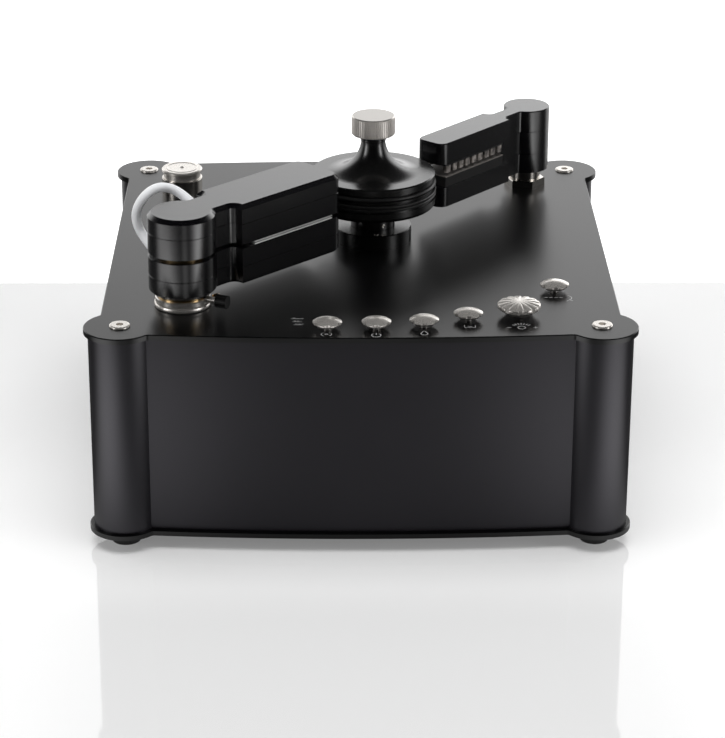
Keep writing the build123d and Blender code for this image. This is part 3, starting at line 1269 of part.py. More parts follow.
with BuildPart() as mains_inlet:
    with BuildSketch(rear_wall_plane(INLET_BACK)):
        with Locations((INLET_X, INLET_Z)):
            RectangleRounded(INLET_LENGTH, INLET_HEIGHT, PANEL_THICKNESS)
    extrude(amount=INLET_BACK - INLET_FACE)
    with BuildSketch(rear_wall_plane(INLET_FACE)):
        with Locations((INLET_X + SOCKET_OFFSET, INLET_Z)):
            Rectangle(SOCKET_LENGTH, SOCKET_HEIGHT)
    extrude(amount=SOCKET_DEPTH, mode=Mode.SUBTRACT)
    with BuildSketch(rear_wall_plane(INLET_FACE)):
        with Locations((ROCKER_X, INLET_Z)):
            pocket_gap = 2 * ROCKER_POCKET_GAP
            Rectangle(ROCKER_WIDTH + pocket_gap, 2 * ROCKER_RADIUS + pocket_gap)
    extrude(amount=ROCKER_POCKET_DEPTH, mode=Mode.SUBTRACT)
    with BuildSketch(rear_wall_plane(INLET_FACE - SOCKET_DEPTH)):
        with Locations((INLET_X + SOCKET_OFFSET, INLET_Z)):
            with GridLocations(BLADE_SPACING, 0, 3, 1):
                Rectangle(BLADE_THICKNESS, BLADE_WIDTH)
    extrude(amount=-BLADE_LENGTH)
    with BuildSketch(ROCKER_AXIS_PLANE.offset(-2 * ROCKER_POCKET_GAP)):
        with Locations((ROCKER_Y, INLET_Z)):
            Circle(ROCKER_AXLE_RADIUS)
    extrude(amount=ROCKER_WIDTH + 4 * ROCKER_POCKET_GAP)
finish(mains_inlet, "mains_inlet")

with BuildPart() as power_rocker:
    with BuildSketch(ROCKER_AXIS_PLANE):
        with Locations((ROCKER_Y, INLET_Z)):
            Circle(ROCKER_RADIUS)
        with Locations((ROCKER_Y + (ROCKER_FRONT - ROCKER_REAR) / 2 + ROCKER_POCKET_GAP, INLET_Z)):
            Rectangle(ROCKER_FRONT + ROCKER_REAR, 2 * ROCKER_RADIUS, mode=Mode.INTERSECT)
        with Locations((ROCKER_Y, INLET_Z)):
            Circle(ROCKER_AXLE_RADIUS + RUNNING_FIT, mode=Mode.SUBTRACT)
    extrude(amount=ROCKER_WIDTH)
finish(power_rocker, "power_rocker")

with BuildPart() as drain_spigot:
    with BuildSketch(rear_wall_plane(WASTE_TANK_BACK)):
        with Locations((SPIGOT_X, SPIGOT_Z)):
            Circle(SPIGOT_FLANGE_RADIUS)
    extrude(amount=-SPIGOT_FLANGE_THICKNESS)
    with BuildSketch(rear_wall_plane(WASTE_TANK_BACK)):
        with Locations((SPIGOT_X, SPIGOT_Z)):
            Circle(SPIGOT_TUBE_RADIUS)
    extrude(amount=WASTE_TANK_BACK - SPIGOT_SHOULDER)
    with BuildSketch(rear_wall_plane(SPIGOT_SHOULDER)):
        with Locations((SPIGOT_X, SPIGOT_Z)):
            Circle(SPIGOT_RADIUS)
    extrude(amount=SPIGOT_SHOULDER - SPIGOT_END)
    with BuildSketch(rear_wall_plane(WASTE_TANK_BACK)):
        with Locations((SPIGOT_X, SPIGOT_Z)):
            Circle(SPIGOT_BORE)
    extrude(amount=WASTE_TANK_BACK - SPIGOT_END, mode=Mode.SUBTRACT)
finish(drain_spigot, "drain_spigot")
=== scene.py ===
"""Looks of the record cleaning machine: materials, hose, small trim, light and camera."""
import math

import bmesh
import bpy
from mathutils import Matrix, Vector


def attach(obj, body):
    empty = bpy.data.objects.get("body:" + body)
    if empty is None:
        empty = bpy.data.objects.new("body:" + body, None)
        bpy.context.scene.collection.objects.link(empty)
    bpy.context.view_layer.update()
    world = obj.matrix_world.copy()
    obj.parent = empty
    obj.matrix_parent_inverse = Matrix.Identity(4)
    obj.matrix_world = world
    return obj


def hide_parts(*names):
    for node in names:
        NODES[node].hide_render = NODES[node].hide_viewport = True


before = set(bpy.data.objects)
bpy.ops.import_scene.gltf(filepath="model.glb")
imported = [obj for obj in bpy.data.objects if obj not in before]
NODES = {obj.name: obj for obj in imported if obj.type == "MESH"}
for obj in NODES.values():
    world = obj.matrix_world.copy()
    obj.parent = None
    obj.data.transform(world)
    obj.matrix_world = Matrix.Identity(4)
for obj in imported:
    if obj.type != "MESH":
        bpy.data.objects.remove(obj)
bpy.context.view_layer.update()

DECK_TOP = 0.164            # top face of the deck, in metres
MM = 0.001


def deck_point(x, y, height=0.0):
    """Point over the deck from millimetres: x and y of the model, height above the deck's top face."""
    return Vector((x * MM, y * MM, DECK_TOP + height * MM))


# --------------------------------------------------------------------------------------------------
# Camera
# --------------------------------------------------------------------------------------------------

CAMERA_LENS = 132.98        # millimetres, for the sensor's width
SENSOR_WIDTH = 36.0
CAMERA_PLACE = (-0.02049, -1.91676, 0.87203)
CAMERA_TURN = (67.0615, -0.2015, -0.6188)       # degrees about X, Y and Z

camera_data = bpy.data.cameras.new("camera")
camera_data.lens = CAMERA_LENS
camera_data.sensor_width = SENSOR_WIDTH
camera_data.clip_start = 0.05
camera_data.clip_end = 60.0
camera = bpy.data.objects.new("camera", camera_data)
camera.location = CAMERA_PLACE
camera.rotation_euler = [math.radians(angle) for angle in CAMERA_TURN]
bpy.context.scene.collection.objects.link(camera)
bpy.context.scene.camera = camera

# --------------------------------------------------------------------------------------------------
# Node helpers
# --------------------------------------------------------------------------------------------------


def link(tree, source, target):
    tree.links.new(source, target)


def axes_of(tree, kind, output):
    """X, Y and Z of the coordinate that a node of this kind gives."""
    place = tree.nodes.new(kind)
    axes = tree.nodes.new("ShaderNodeSeparateXYZ")
    link(tree, place.outputs[output], axes.inputs["Vector"])
    return axes.outputs


def calculated(tree, operation, *values):
    """Math of one or two values."""
    node = tree.nodes.new("ShaderNodeMath")
    node.operation = operation
    for value, socket in zip(values, node.inputs):
        link(tree, value, socket)
    return node.outputs["Value"]


def total(tree, first, *others):
    for other in others:
        first = calculated(tree, "ADD", first, other)
    return first


def product(tree, first, *others):
    for other in others:
        first = calculated(tree, "MULTIPLY", first, other)
    return first


def ramp(tree, value, start, end, low, high, kind="SMOOTHSTEP"):
    """Value mapped from one range to another, and held outside it."""
    node = tree.nodes.new("ShaderNodeMapRange")
    node.interpolation_type = kind
    node.inputs["From Min"].default_value = start
    node.inputs["From Max"].default_value = end
    node.inputs["To Min"].default_value = low
    node.inputs["To Max"].default_value = high
    link(tree, value, node.inputs["Value"])
    return node.outputs["Result"]


def far_off(tree, near, far, low, high):
    """Value that changes with the distance from the object's origin."""
    place = tree.nodes.new("ShaderNodeTexCoord")
    reach = tree.nodes.new("ShaderNodeVectorMath")
    reach.operation = "LENGTH"
    link(tree, place.outputs["Object"], reach.inputs[0])
    return ramp(tree, reach.outputs["Value"], near, far, low, high)


def noise(tree, scale, detail, stretch=(1.0, 1.0, 1.0)):
    """Noise texture in the object's own space, its coordinates stretched along the axes."""
    place = tree.nodes.new("ShaderNodeTexCoord")
    mapping = tree.nodes.new("ShaderNodeMapping")
    mapping.inputs["Scale"].default_value = stretch
    link(tree, place.outputs["Object"], mapping.inputs["Vector"])
    texture = tree.nodes.new("ShaderNodeTexNoise")
    texture.inputs["Scale"].default_value = scale
    texture.inputs["Detail"].default_value = detail
    link(tree, mapping.outputs["Vector"], texture.inputs["Vector"])
    return texture.outputs["Fac"]


def spread(tree, value, low, high):
    """A noise value, mostly from 0.3 to 0.7, mapped to a range."""
    return ramp(tree, value, 0.3, 0.7, low, high, "LINEAR")


def mixed(tree, value, first, second):
    """Colour between two, by a value."""
    node = tree.nodes.new("ShaderNodeMix")
    node.data_type = "RGBA"
    node.inputs["A"].default_value = (*first, 1.0)
    node.inputs["B"].default_value = (*second, 1.0)
    link(tree, spread(tree, value, 0.0, 1.0), node.inputs["Factor"])
    return node.outputs["Result"]


def faced(tree, side, face):
    """A colour, and another one where the surface faces along the object's Z axis."""
    normal = axes_of(tree, "ShaderNodeTexCoord", "Normal")
    node = tree.nodes.new("ShaderNodeMix")
    node.data_type = "RGBA"
    link(tree, side, node.inputs["A"])
    node.inputs["B"].default_value = (*face, 1.0)
    link(tree, ramp(tree, normal["Z"], 0.6, 0.95, 0.0, 1.0, "LINEAR"), node.inputs["Factor"])
    return node.outputs["Result"]


def scaled(colour, factor):
    return tuple(min(1.0, channel * factor) for channel in colour)


def surface(name, colour, roughness, metallic=0.0, ior=1.5, grain=6000.0, grain_depth=0.000002,
            colour_spread=0.10, rough_spread=0.08, stretch=(1.0, 1.0, 1.0), cloud=18.0,
            end_face=None, **sockets):
    """Procedural material: clouds in its colour, and a fine grain in its roughness and as bump.

    cloud and grain are the scales of the two noises, and stretch the grain's shape. end_face is the colour of
    faces that look along Z. Other names are sockets of the shader, with _ for a space.
    """
    material = bpy.data.materials.new(name)
    material.use_nodes = True
    tree = material.node_tree
    shader = tree.nodes["Principled BSDF"]
    shader.inputs["Metallic"].default_value = metallic
    shader.inputs["IOR"].default_value = ior
    for socket, value in sockets.items():
        shader.inputs[socket.replace("_", " ")].default_value = value
    clouds = noise(tree, cloud, 3.0)
    tint = mixed(tree, clouds, scaled(colour, 1 - colour_spread), scaled(colour, 1 + colour_spread))
    if end_face:
        tint = faced(tree, tint, end_face)
    link(tree, tint, shader.inputs["Base Color"])
    fine = noise(tree, grain, 2.0, stretch)
    rough = spread(tree, fine, roughness * (1 - rough_spread), roughness * (1 + rough_spread))
    link(tree, rough, shader.inputs["Roughness"])
    bump = tree.nodes.new("ShaderNodeBump")
    bump.inputs["Distance"].default_value = grain_depth
    bump.inputs["Strength"].default_value = 0.35
    link(tree, fine, bump.inputs["Height"])
    link(tree, bump.outputs["Normal"], shader.inputs["Normal"])
    return material


def dress(material, *names):
    """Gives a material to CAD nodes."""
    for name in names:
        for slot in NODES[name].material_slots:
            slot.link = "OBJECT"
            slot.material = material


# --------------------------------------------------------------------------------------------------
# Hose loop on the front arm
# --------------------------------------------------------------------------------------------------

HOSE_RADIUS = 0.0034
HOSE_POINTS = (             # control points, from the upper fitting round to the lower one
    (-0.11899, -0.08988, 0.22610),
    (-0.12348, -0.08540, 0.22906),
    (-0.13380, -0.08240, 0.23550),
    (-0.14510, -0.08810, 0.23820),
    (-0.15550, -0.09420, 0.23080),
    (-0.16020, -0.09280, 0.21670),
    (-0.15430, -0.09264, 0.20158),
    (-0.14490, -0.10345, 0.19490),
)


def nurbs_tube(name, points, radius):
    """Round tube along a NURBS spline with the given control points."""
    curve = bpy.data.curves.new(name, "CURVE")
    curve.dimensions = "3D"
    curve.bevel_depth = radius
    curve.bevel_resolution = 8
    curve.resolution_u = 16
    spline = curve.splines.new("NURBS")
    spline.points.add(len(points) - 1)
    for target, point in zip(spline.points, points):
        target.co = (*point, 1.0)
    spline.order_u = 3
    spline.use_endpoint_u = True
    tube = bpy.data.objects.new(name, curve)
    bpy.context.scene.collection.objects.link(tube)
    return tube


hose = nurbs_tube("hose_loop", HOSE_POINTS, HOSE_RADIUS)
hose.data.materials.append(surface(
    "hose_white", (0.87, 0.88, 0.90), 0.30, ior=1.42, grain=350.0, colour_spread=0.02,
))
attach(hose, "front_arm")
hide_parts("front_arm_hose")

# --------------------------------------------------------------------------------------------------
# Materials of the CAD nodes
# --------------------------------------------------------------------------------------------------

VIOLET = (0.95, 0.93, 1.0, 1.0)    # faint tint of the dyed oxide layer

deck_black = surface("deck_black", (0.0015, 0.0015, 0.0016), 0.29, rough_spread=0.05)
column_black = surface("column_black", (0.0085, 0.008, 0.0098), 0.34, stretch=(1.0, 1.0, 0.1),
                       Specular_Tint=VIOLET)
panel_black = surface("panel_black", (0.0085, 0.0077, 0.0098), 0.40, Specular_Tint=VIOLET)
arm_black = surface("arm_black", (0.0022, 0.0021, 0.0028), 0.24, ior=1.9, rough_spread=0.05)
knob_black = surface("knob_black", (0.003, 0.003, 0.003), 0.38, ior=1.4)
spindle_black = surface("spindle_black", (0.004, 0.004, 0.004), 0.22, ior=1.75, stretch=(1.0, 1.0, 6.0))
nickel = surface("nickel", (0.64, 0.61, 0.57), 0.20, metallic=1.0, colour_spread=0.03)
nickel_satin = surface("nickel_satin", (0.80, 0.765, 0.72), 0.28, metallic=0.8, colour_spread=0.03)
# faces that look up get a darker colour than the sides: painted shade on the top of the clamp knob
nickel_with_painted_top_shade = surface("nickel_with_painted_top_shade", (0.92, 0.875, 0.83), 0.30, metallic=0.9, colour_spread=0.03,
                        end_face=(0.46, 0.44, 0.415))
brass = surface("warm_brass", (0.72, 0.52, 0.28), 0.22, metallic=1.0, colour_spread=0.05)
rubber = surface("rubber", (0.014, 0.014, 0.014), 0.6, ior=1.4, grain=500.0)
seal = surface("seal_rubber", (0.008, 0.008, 0.008), 0.38, ior=1.45, grain=400.0)
velvet = surface("pad_velvet", (0.62, 0.62, 0.61), 0.9, grain=2500.0, grain_depth=0.0002, Sheen_Weight=0.5)
# a darker copy of the pad velvet for the rear arm's pad strip: painted shade of the strip deep between the
# arm's halves
velvet_in_painted_shade = surface("velvet_in_painted_shade", (0.15, 0.138, 0.128), 0.8, grain=2500.0, grain_depth=0.0002)
carrier = surface("carrier_plastic", (0.02, 0.02, 0.02), 0.3)
bristle = surface("bristle", (0.27, 0.245, 0.225), 0.40, grain=1800.0, grain_depth=0.0002,
                  stretch=(6.0, 6.0, 0.4), colour_spread=0.97, cloud=170.0)
steel = surface("ground_steel", (0.52, 0.52, 0.53), 0.25, metallic=1.0)
paint_grey = surface("motor_paint", (0.10, 0.105, 0.115), 0.45)
board_green = surface("board_green", (0.02, 0.10, 0.045), 0.4)
tank_plastic = surface("tank_plastic", (0.68, 0.70, 0.71), 0.35, Subsurface_Weight=0.2, Subsurface_Scale=0.01)
cast_grey = surface("cast_grey", (0.30, 0.31, 0.32), 0.5, metallic=1.0, grain=300.0)
sheet_metal = surface("sheet_metal", (0.50, 0.51, 0.52), 0.35, metallic=1.0)
moulded_black = surface("moulded_black", (0.012, 0.012, 0.012), 0.45)
gloss_black = surface("gloss_black", (0.012, 0.012, 0.012), 0.15)

dress(deck_black, "top_plate", "bottom_plate")
dress(column_black, "column_front_left", "column_front_right", "column_rear_left", "column_rear_right")
dress(panel_black, "front_panel", "rear_panel", "left_panel", "right_panel")
dress(rubber, "feet")
dress(nickel_satin, "corner_screws", "filler_cap", "drain_spigot", "front_arm_base_ring")
dress(nickel_with_painted_top_shade, "clamp_knob")
dress(spindle_black, "spindle_base", "record_support", "clamp_body")
dress(knob_black, "front_arm_lock_knob")
dress(seal, "support_seal", "clamp_rings")
dress(steel, "spindle_bearings", "spindle_shaft")
dress(paint_grey, "gear_motor", "motor_mount")
dress(nickel, "front_arm_hose_fittings", "rear_arm_base_nut", "rear_arm_pivot", "filler_neck")
dress(brass, "front_arm_pivot", "front_arm_spacer")
dress(arm_black, "front_arm_lower_cover", "front_arm_lower_body", "front_arm_upper_body", "front_arm_lid",
      "rear_arm_lower_body", "rear_arm_spacer", "rear_arm_upper_body")
dress(velvet, "front_arm_pads")
dress(velvet_in_painted_shade, "rear_arm_pad_strip")
dress(carrier, "rear_arm_pad_carrier", "rear_arm_brush_carrier")
dress(bristle, "rear_arm_brushes")
dress(nickel_satin, "button_1", "button_2", "button_3", "button_4", "button_5", "speed_knob")
dress(board_green, "control_board")
dress(tank_plastic, "clean_tank", "waste_tank", "fluid_pump")
dress(cast_grey, "vacuum_turbine", "vacuum_impeller")
dress(sheet_metal, "power_supply")
dress(moulded_black, "mains_inlet")
dress(gloss_black, "power_rocker")

# --------------------------------------------------------------------------------------------------
# Small trim and printed marks
# --------------------------------------------------------------------------------------------------


def add_piece(name, shape, material, body, smooth=True):
    """Turns a finished bmesh into a piece that moves with a body."""
    bmesh.ops.recalc_face_normals(shape, faces=shape.faces)
    mesh = bpy.data.meshes.new(name)
    shape.to_mesh(mesh)
    shape.free()
    for polygon in mesh.polygons:
        polygon.use_smooth = smooth
    mesh.materials.append(material)
    piece = bpy.data.objects.new(name, mesh)
    bpy.context.scene.collection.objects.link(piece)
    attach(piece, body)


def turned(shape, profile, place, axis=(0.0, 0.0, 1.0), steps=32):
    """Adds a turned solid from a profile of (radius, height) in millimetres.

    The profile's first and last points are on the axis, or are the same point for a ring.
    """
    turn = Vector((0.0, 0.0, 1.0)).rotation_difference(Vector(axis)).to_matrix()
    rings = []
    for radius, height in profile:
        count = 1 if radius == 0 else steps
        ring = []
        for k in range(count):
            angle = 2 * math.pi * k / steps
            local = Vector((radius * math.cos(angle), radius * math.sin(angle), height)) * MM
            ring.append(shape.verts.new(place + turn @ local))
        rings.append(ring)
    for lower, upper in zip(rings, rings[1:]):
        for k in range(steps):
            corners = [lower[k % len(lower)], lower[(k + 1) % len(lower)],
                       upper[(k + 1) % len(upper)], upper[k % len(upper)]]
            shape.faces.new(list(dict.fromkeys(corners)))


def turned_piece(name, profile, place, material, body, ring=False, steps=32):
    """A turned solid, or a turned ring, as a piece of its own."""
    shape = bmesh.new()
    turned(shape, profile + profile[:1] if ring else profile, place, steps=steps)
    add_piece(name, shape, material, body)


MARK_BASE = 0.005           # printed marks above the deck, in millimetres
MARK_TOP = 0.035
MARK_WIDTH = 0.4


def ribbon(shape, points, closed=False):
    """Adds a flat printed stroke on the deck along points in millimetres."""
    count = len(points)
    rows = []
    for k, (x, y) in enumerate(points):
        before = points[k - 1] if closed or k > 0 else points[k]
        after = points[(k + 1) % count] if closed or k < count - 1 else points[k]
        along = Vector((after[0] - before[0], after[1] - before[1])).normalized()
        side = Vector((-along.y, along.x)) * MARK_WIDTH / 2
        rows.append([shape.verts.new(deck_point(x + sx * side.x, y + sx * side.y, height))
                     for sx, height in ((-1, MARK_BASE), (1, MARK_BASE), (1, MARK_TOP), (-1, MARK_TOP))])
    last = count if closed else count - 1
    for k in range(last):
        first, second = rows[k], rows[(k + 1) % count]
        for m in range(4):
            shape.faces.new([first[m], first[(m + 1) % 4], second[(m + 1) % 4], second[m]])
    if not closed:
        shape.faces.new(rows[0][::-1])
        shape.faces.new(rows[-1])


def arc(x, y, radius, start, end):
    """Points along an arc, angles in degrees."""
    steps = 20
    angles = [math.radians(start + (end - start) * k / steps) for k in range(steps + 1)]
    return [(x + radius * math.cos(a), y + radius * math.sin(a)) for a in angles]


DIAL_MARK = (111.0, -170.6)     # middle of the rotary knob's marks
print_grey = surface("print_grey", (0.50, 0.50, 0.50), 0.55, colour_spread=0.2)

marks = bmesh.new()
# levels block: three rows, filled from the left to different lengths
for row, (length, dots) in enumerate(((9.0, 1), (7.0, 2), (6.0, 3))):
    level = -154.0 - 5.6 * row
    ribbon(marks, [(-49.0 + row, level), (-49.0 + row + length, level)])
    for k in range(dots):
        ribbon(marks, [(-47.6 + row + 2.2 * k, level + 1.4), (-46.2 + row + 2.2 * k, level + 1.4)])
# two facing arcs with a point between them
ribbon(marks, arc(-24.1, -182.6, 3.6, 120, 240))
ribbon(marks, arc(-24.1, -182.6, 3.6, -60, 60))
ribbon(marks, arc(-24.1, -182.6, 1.0, 0, 342), closed=True)
# open ring with an upright stroke
ribbon(marks, arc(10.2, -184.4, 3.2, 130, 410))
ribbon(marks, [(10.2, -183.4), (10.2, -180.4)])
# drop
ribbon(marks, arc(43.3, -181.6, 2.4, -200, 20) + [(43.3, -176.6)], closed=True)
# tray
ribbon(marks, [(71.6, -166.6), (71.6, -170.6), (79.0, -170.6), (79.0, -166.6)])
ribbon(marks, [(73.6, -168.4), (77.0, -168.4)])
# minus, ring and plus with a fan of ticks behind them
ribbon(marks, [(100.6, -170.4), (103.8, -170.4)])
ribbon(marks, arc(*DIAL_MARK, 2.6, 0, 342), closed=True)
ribbon(marks, [(119.1, -170.5), (122.3, -170.5)])
ribbon(marks, [(120.7, -172.1), (120.7, -168.9)])
for k in range(-3, 4):
    lean = math.radians(90 + 17 * k)
    ribbon(marks, [(DIAL_MARK[0] + reach * math.cos(lean), DIAL_MARK[1] + reach * math.sin(lean))
                   for reach in (5.4, 8.2)])
# row of dashes and a turning arrow
for k in range(4):
    ribbon(marks, [(130.6 + 3.6 * k, -113.8), (133.0 + 3.6 * k, -113.8)])
ribbon(marks, arc(145.2, -114.4, 5.0, 60, -60))
ribbon(marks, [(146.2, -120.9), (148.0, -118.6), (150.6, -119.9)])
add_piece("deck_marks", marks, print_grey, "chassis", smooth=False)

# places on the deck in millimetres: of the spindle, the filler and the front arm's post
SPINDLE = (10.5, 9.5)
FILLER = (-137.7, 115.2)
FRONT_POST = (-125.3, -126.0)
# heights over the deck: of the filler cap's top, the screws in the support's neck and the spindle's base
CAP_TOP = 19.9
NECK_SCREW_HEIGHT = 14.5
BASE_TOP = 11.2
SCREW_CUP = [(0.0, -0.2), (1.5, -0.2), (1.5, 0.25), (1.25, 0.45), (0.8, 0.45), (0.7, 0.1), (0.0, 0.1)]
NECK_RADIUS = 16.5          # of the support's neck that its screws sit in
BASE_SCREW_CIRCLE = 24.6    # radius of the circle of screws on the spindle's base

neck_screws = bmesh.new()
for bearing in (27.0, 147.0, 267.0):
    out = Vector((math.sin(math.radians(bearing)), -math.cos(math.radians(bearing)), 0.0))
    turned(neck_screws, SCREW_CUP, deck_point(*SPINDLE, NECK_SCREW_HEIGHT) + out * NECK_RADIUS * MM, out)
add_piece("support_neck_screws", neck_screws, nickel, "platter")

base_screws = bmesh.new()
for bearing in (5.0, 125.0, 245.0):
    turn = math.radians(bearing)
    seat = (SPINDLE[0] + BASE_SCREW_CIRCLE * math.sin(turn), SPINDLE[1] - BASE_SCREW_CIRCLE * math.cos(turn))
    turned(base_screws, SCREW_CUP, deck_point(*seat, BASE_TOP))
add_piece("spindle_base_screws", base_screws, nickel, "chassis")

turned_piece("filler_cap_dot", [(0.0, -0.2), (1.7, -0.2), (1.7, 0.2), (1.4, 0.35), (0.9, 0.1), (0.0, 0.1)],
             deck_point(*FILLER, CAP_TOP), nickel, "filler_cap")
turned_piece("filler_cap_ring",
             [(11.2, -0.2), (11.2, 0.12), (11.45, 0.22), (12.15, 0.22), (12.4, 0.12), (12.4, -0.2)],
             deck_point(*FILLER, CAP_TOP), nickel, "filler_cap", ring=True, steps=64)
turned_piece("front_ring_trim",
             [(19.2, 0.05), (19.9, 0.05), (20.35, 0.8), (20.4, 1.9), (20.1, 3.1), (19.2, 4.2)],
             deck_point(*FRONT_POST), nickel_satin, "chassis", ring=True, steps=96)
turned_piece("clamp_neck_ring", [(8.6, 77.2), (9.4, 77.4), (9.5, 78.0), (9.4, 78.6), (8.6, 78.8)],
             deck_point(*SPINDLE), spindle_black, "clamp", ring=True, steps=64)
turned_piece("lock_boss", [(0.0, 0.0), (3.0, 0.0), (3.1, 0.6), (2.2, 1.5), (1.1, 2.0), (0.0, 2.0)],
             deck_point(-101.2, -132.6, 8.4), brass, "chassis")

DIAL_PLACE = (110.606, -146.434)
DIAL_FLUTES = 14
DIAL_RADIUS = 15.1
DIAL_TOP = 10.3             # heights over the deck
DIAL_RIM = 5.6
DOME_RADIUS = 46.0          # of the dial's slightly domed top
CROWN_LIFT = 0.06           # of the crown over the knob's own top
FLUTE_RISE = 0.5
# rows over the dome, as shares of the dial's radius
DIAL_SHARES = (0.08, 0.2, 0.32, 0.44, 0.56, 0.68, 0.8, 0.9, 0.96)

BUTTON_PLACES = (
    (-23.439, -171.852), (10.5, -171.0), (43.593, -167.33), (74.686, -155.13), (138.933, -100.192),
)
# radius and height of the rows of a button's rounded lower side
BUTTON_SIDE = ((6.2, 2.2), (7.4, 2.35), (8.6, 2.75), (9.5, 3.4), (10.0, 4.2), (10.1, 4.8))
BUTTON_ENDS = (2.25, 4.8)   # heights of the middle points that close it
BUTTON_STEPS = 72
SCALLOPS = 6
SCALLOP_DEPTH = 1.25


def smooth_step(value, start, end):
    """Smooth step from 0 to 1."""
    t = min(1.0, max(0.0, (value - start) / (end - start)))
    return t * t * (3 - 2 * t)


def waved_piece(name, place, steps, outlines, ends, material, body):
    """Closed skin over rows of points around a place on the deck.

    Each outline gives radius and height in millimetres for an angle. ends are the heights of the two
    middle points.
    """
    shape = bmesh.new()
    rows = []
    for outline in outlines:
        row = []
        for k in range(steps):
            angle = 2 * math.pi * k / steps
            reach, height = outline(angle)
            row.append(shape.verts.new(deck_point(
                place[0] + reach * math.cos(angle), place[1] + reach * math.sin(angle), height)))
        rows.append(row)
    for lower, upper in zip(rows, rows[1:]):
        for k in range(steps):
            shape.faces.new([lower[k], lower[(k + 1) % steps], upper[(k + 1) % steps], upper[k]])
    for row, height in zip((rows[0], rows[-1]), ends):
        middle = shape.verts.new(deck_point(*place, height))
        for k in range(steps):
            shape.faces.new([middle, row[k], row[(k + 1) % steps]])
    add_piece(name, shape, material, body)


def dial_row(share, drop=0.0, level=None):
    """Row of the dial's crown at a share of its radius: on its dome, some way under it, or at a level."""
    def outline(angle):
        groove = smooth_step(math.cos(DIAL_FLUTES * angle), -0.1, 1.0)
        reach = share * (DIAL_RADIUS - groove)
        height = DIAL_TOP - DOME_RADIUS + math.sqrt(DOME_RADIUS ** 2 - reach ** 2) + CROWN_LIFT
        height += FLUTE_RISE * smooth_step(share, 0.1, 0.75) * (1 - groove)
        return reach, height - drop if level is None else level
    return outline


def button_row(radius, height):
    """Row of a button's rounded lower side, with the shallow scallops of its rim."""
    def outline(angle):
        scallop = smooth_step(-math.cos(SCALLOPS * angle), -0.1, 1.0) * smooth_step(radius, 6.0, 9.0)
        return radius - SCALLOP_DEPTH * scallop, height
    return outline


# fluted metal crown over the speed knob: flutes run from its middle to its scalloped rim
crown_rows = [dial_row(share) for share in DIAL_SHARES]
crown_rows.append(dial_row(1.0, drop=0.5))
crown_rows.append(dial_row(1.0, level=DIAL_RIM + 0.3))
crown_rows.append(dial_row(0.985, level=DIAL_RIM - 0.05))
waved_piece("dial_crown", DIAL_PLACE, 12 * DIAL_FLUTES, crown_rows, (DIAL_TOP + CROWN_LIFT, DIAL_RIM + 0.1),
            nickel_satin, "speed_knob")

side_rows = [button_row(radius, height) for radius, height in BUTTON_SIDE]
for number, place in enumerate(BUTTON_PLACES, start=1):
    waved_piece(f"button_skirt_{number}", place, BUTTON_STEPS, side_rows, BUTTON_ENDS,
                nickel_with_painted_top_shade, f"button_{number}")

# --------------------------------------------------------------------------------------------------
# Floor, world and lamps
# --------------------------------------------------------------------------------------------------

FLOOR_EDGE = 0.339          # where the table in front of the backdrop ends
FLOOR_REACH = 6.0
FLOOR_LEVEL = -0.0002
FLOOR_GREY = 0.80
FLOOR_GLOW = 0.115          # added where the camera sees the table
GLOSS_REACH = 1.2           # of the clear gloss on the table
GLOSS_LEVEL = -0.0001
BACKDROP_LEVEL = 1.85       # of the backdrop behind the object, in reflections
MIRROR_POWER = 110.0        # of the lamp that only the table mirrors, in watts
KEY_POWER = 68.0            # of the lamp overhead
STRIP_POWER = 4.0           # of each strip beside the camera


def sheet(name, reach, far, level, material):
    """Level rectangle from -reach to reach along X, and from -reach to far along Y."""
    corners = [(-reach, -reach, level), (reach, -reach, level), (reach, far, level), (-reach, far, level)]
    mesh = bpy.data.meshes.new(name)
    mesh.from_pydata(corners, [], [(0, 1, 2, 3)])
    mesh.materials.append(material)
    piece = bpy.data.objects.new(name, mesh)
    bpy.context.scene.collection.objects.link(piece)
    return piece


def emission(tree, strength):
    """White light of a strength."""
    node = tree.nodes.new("ShaderNodeEmission")
    link(tree, strength, node.inputs["Strength"])
    return node.outputs["Emission"]


def show_mix(tree, share, first, second):
    """Mixes two shaders by a share, as the material's surface."""
    choice = tree.nodes.new("ShaderNodeMixShader")
    link(tree, share, choice.inputs["Fac"])
    link(tree, first, choice.inputs[1])
    link(tree, second, choice.inputs[2])
    link(tree, choice.outputs["Shader"], tree.nodes["Material Output"].inputs["Surface"])


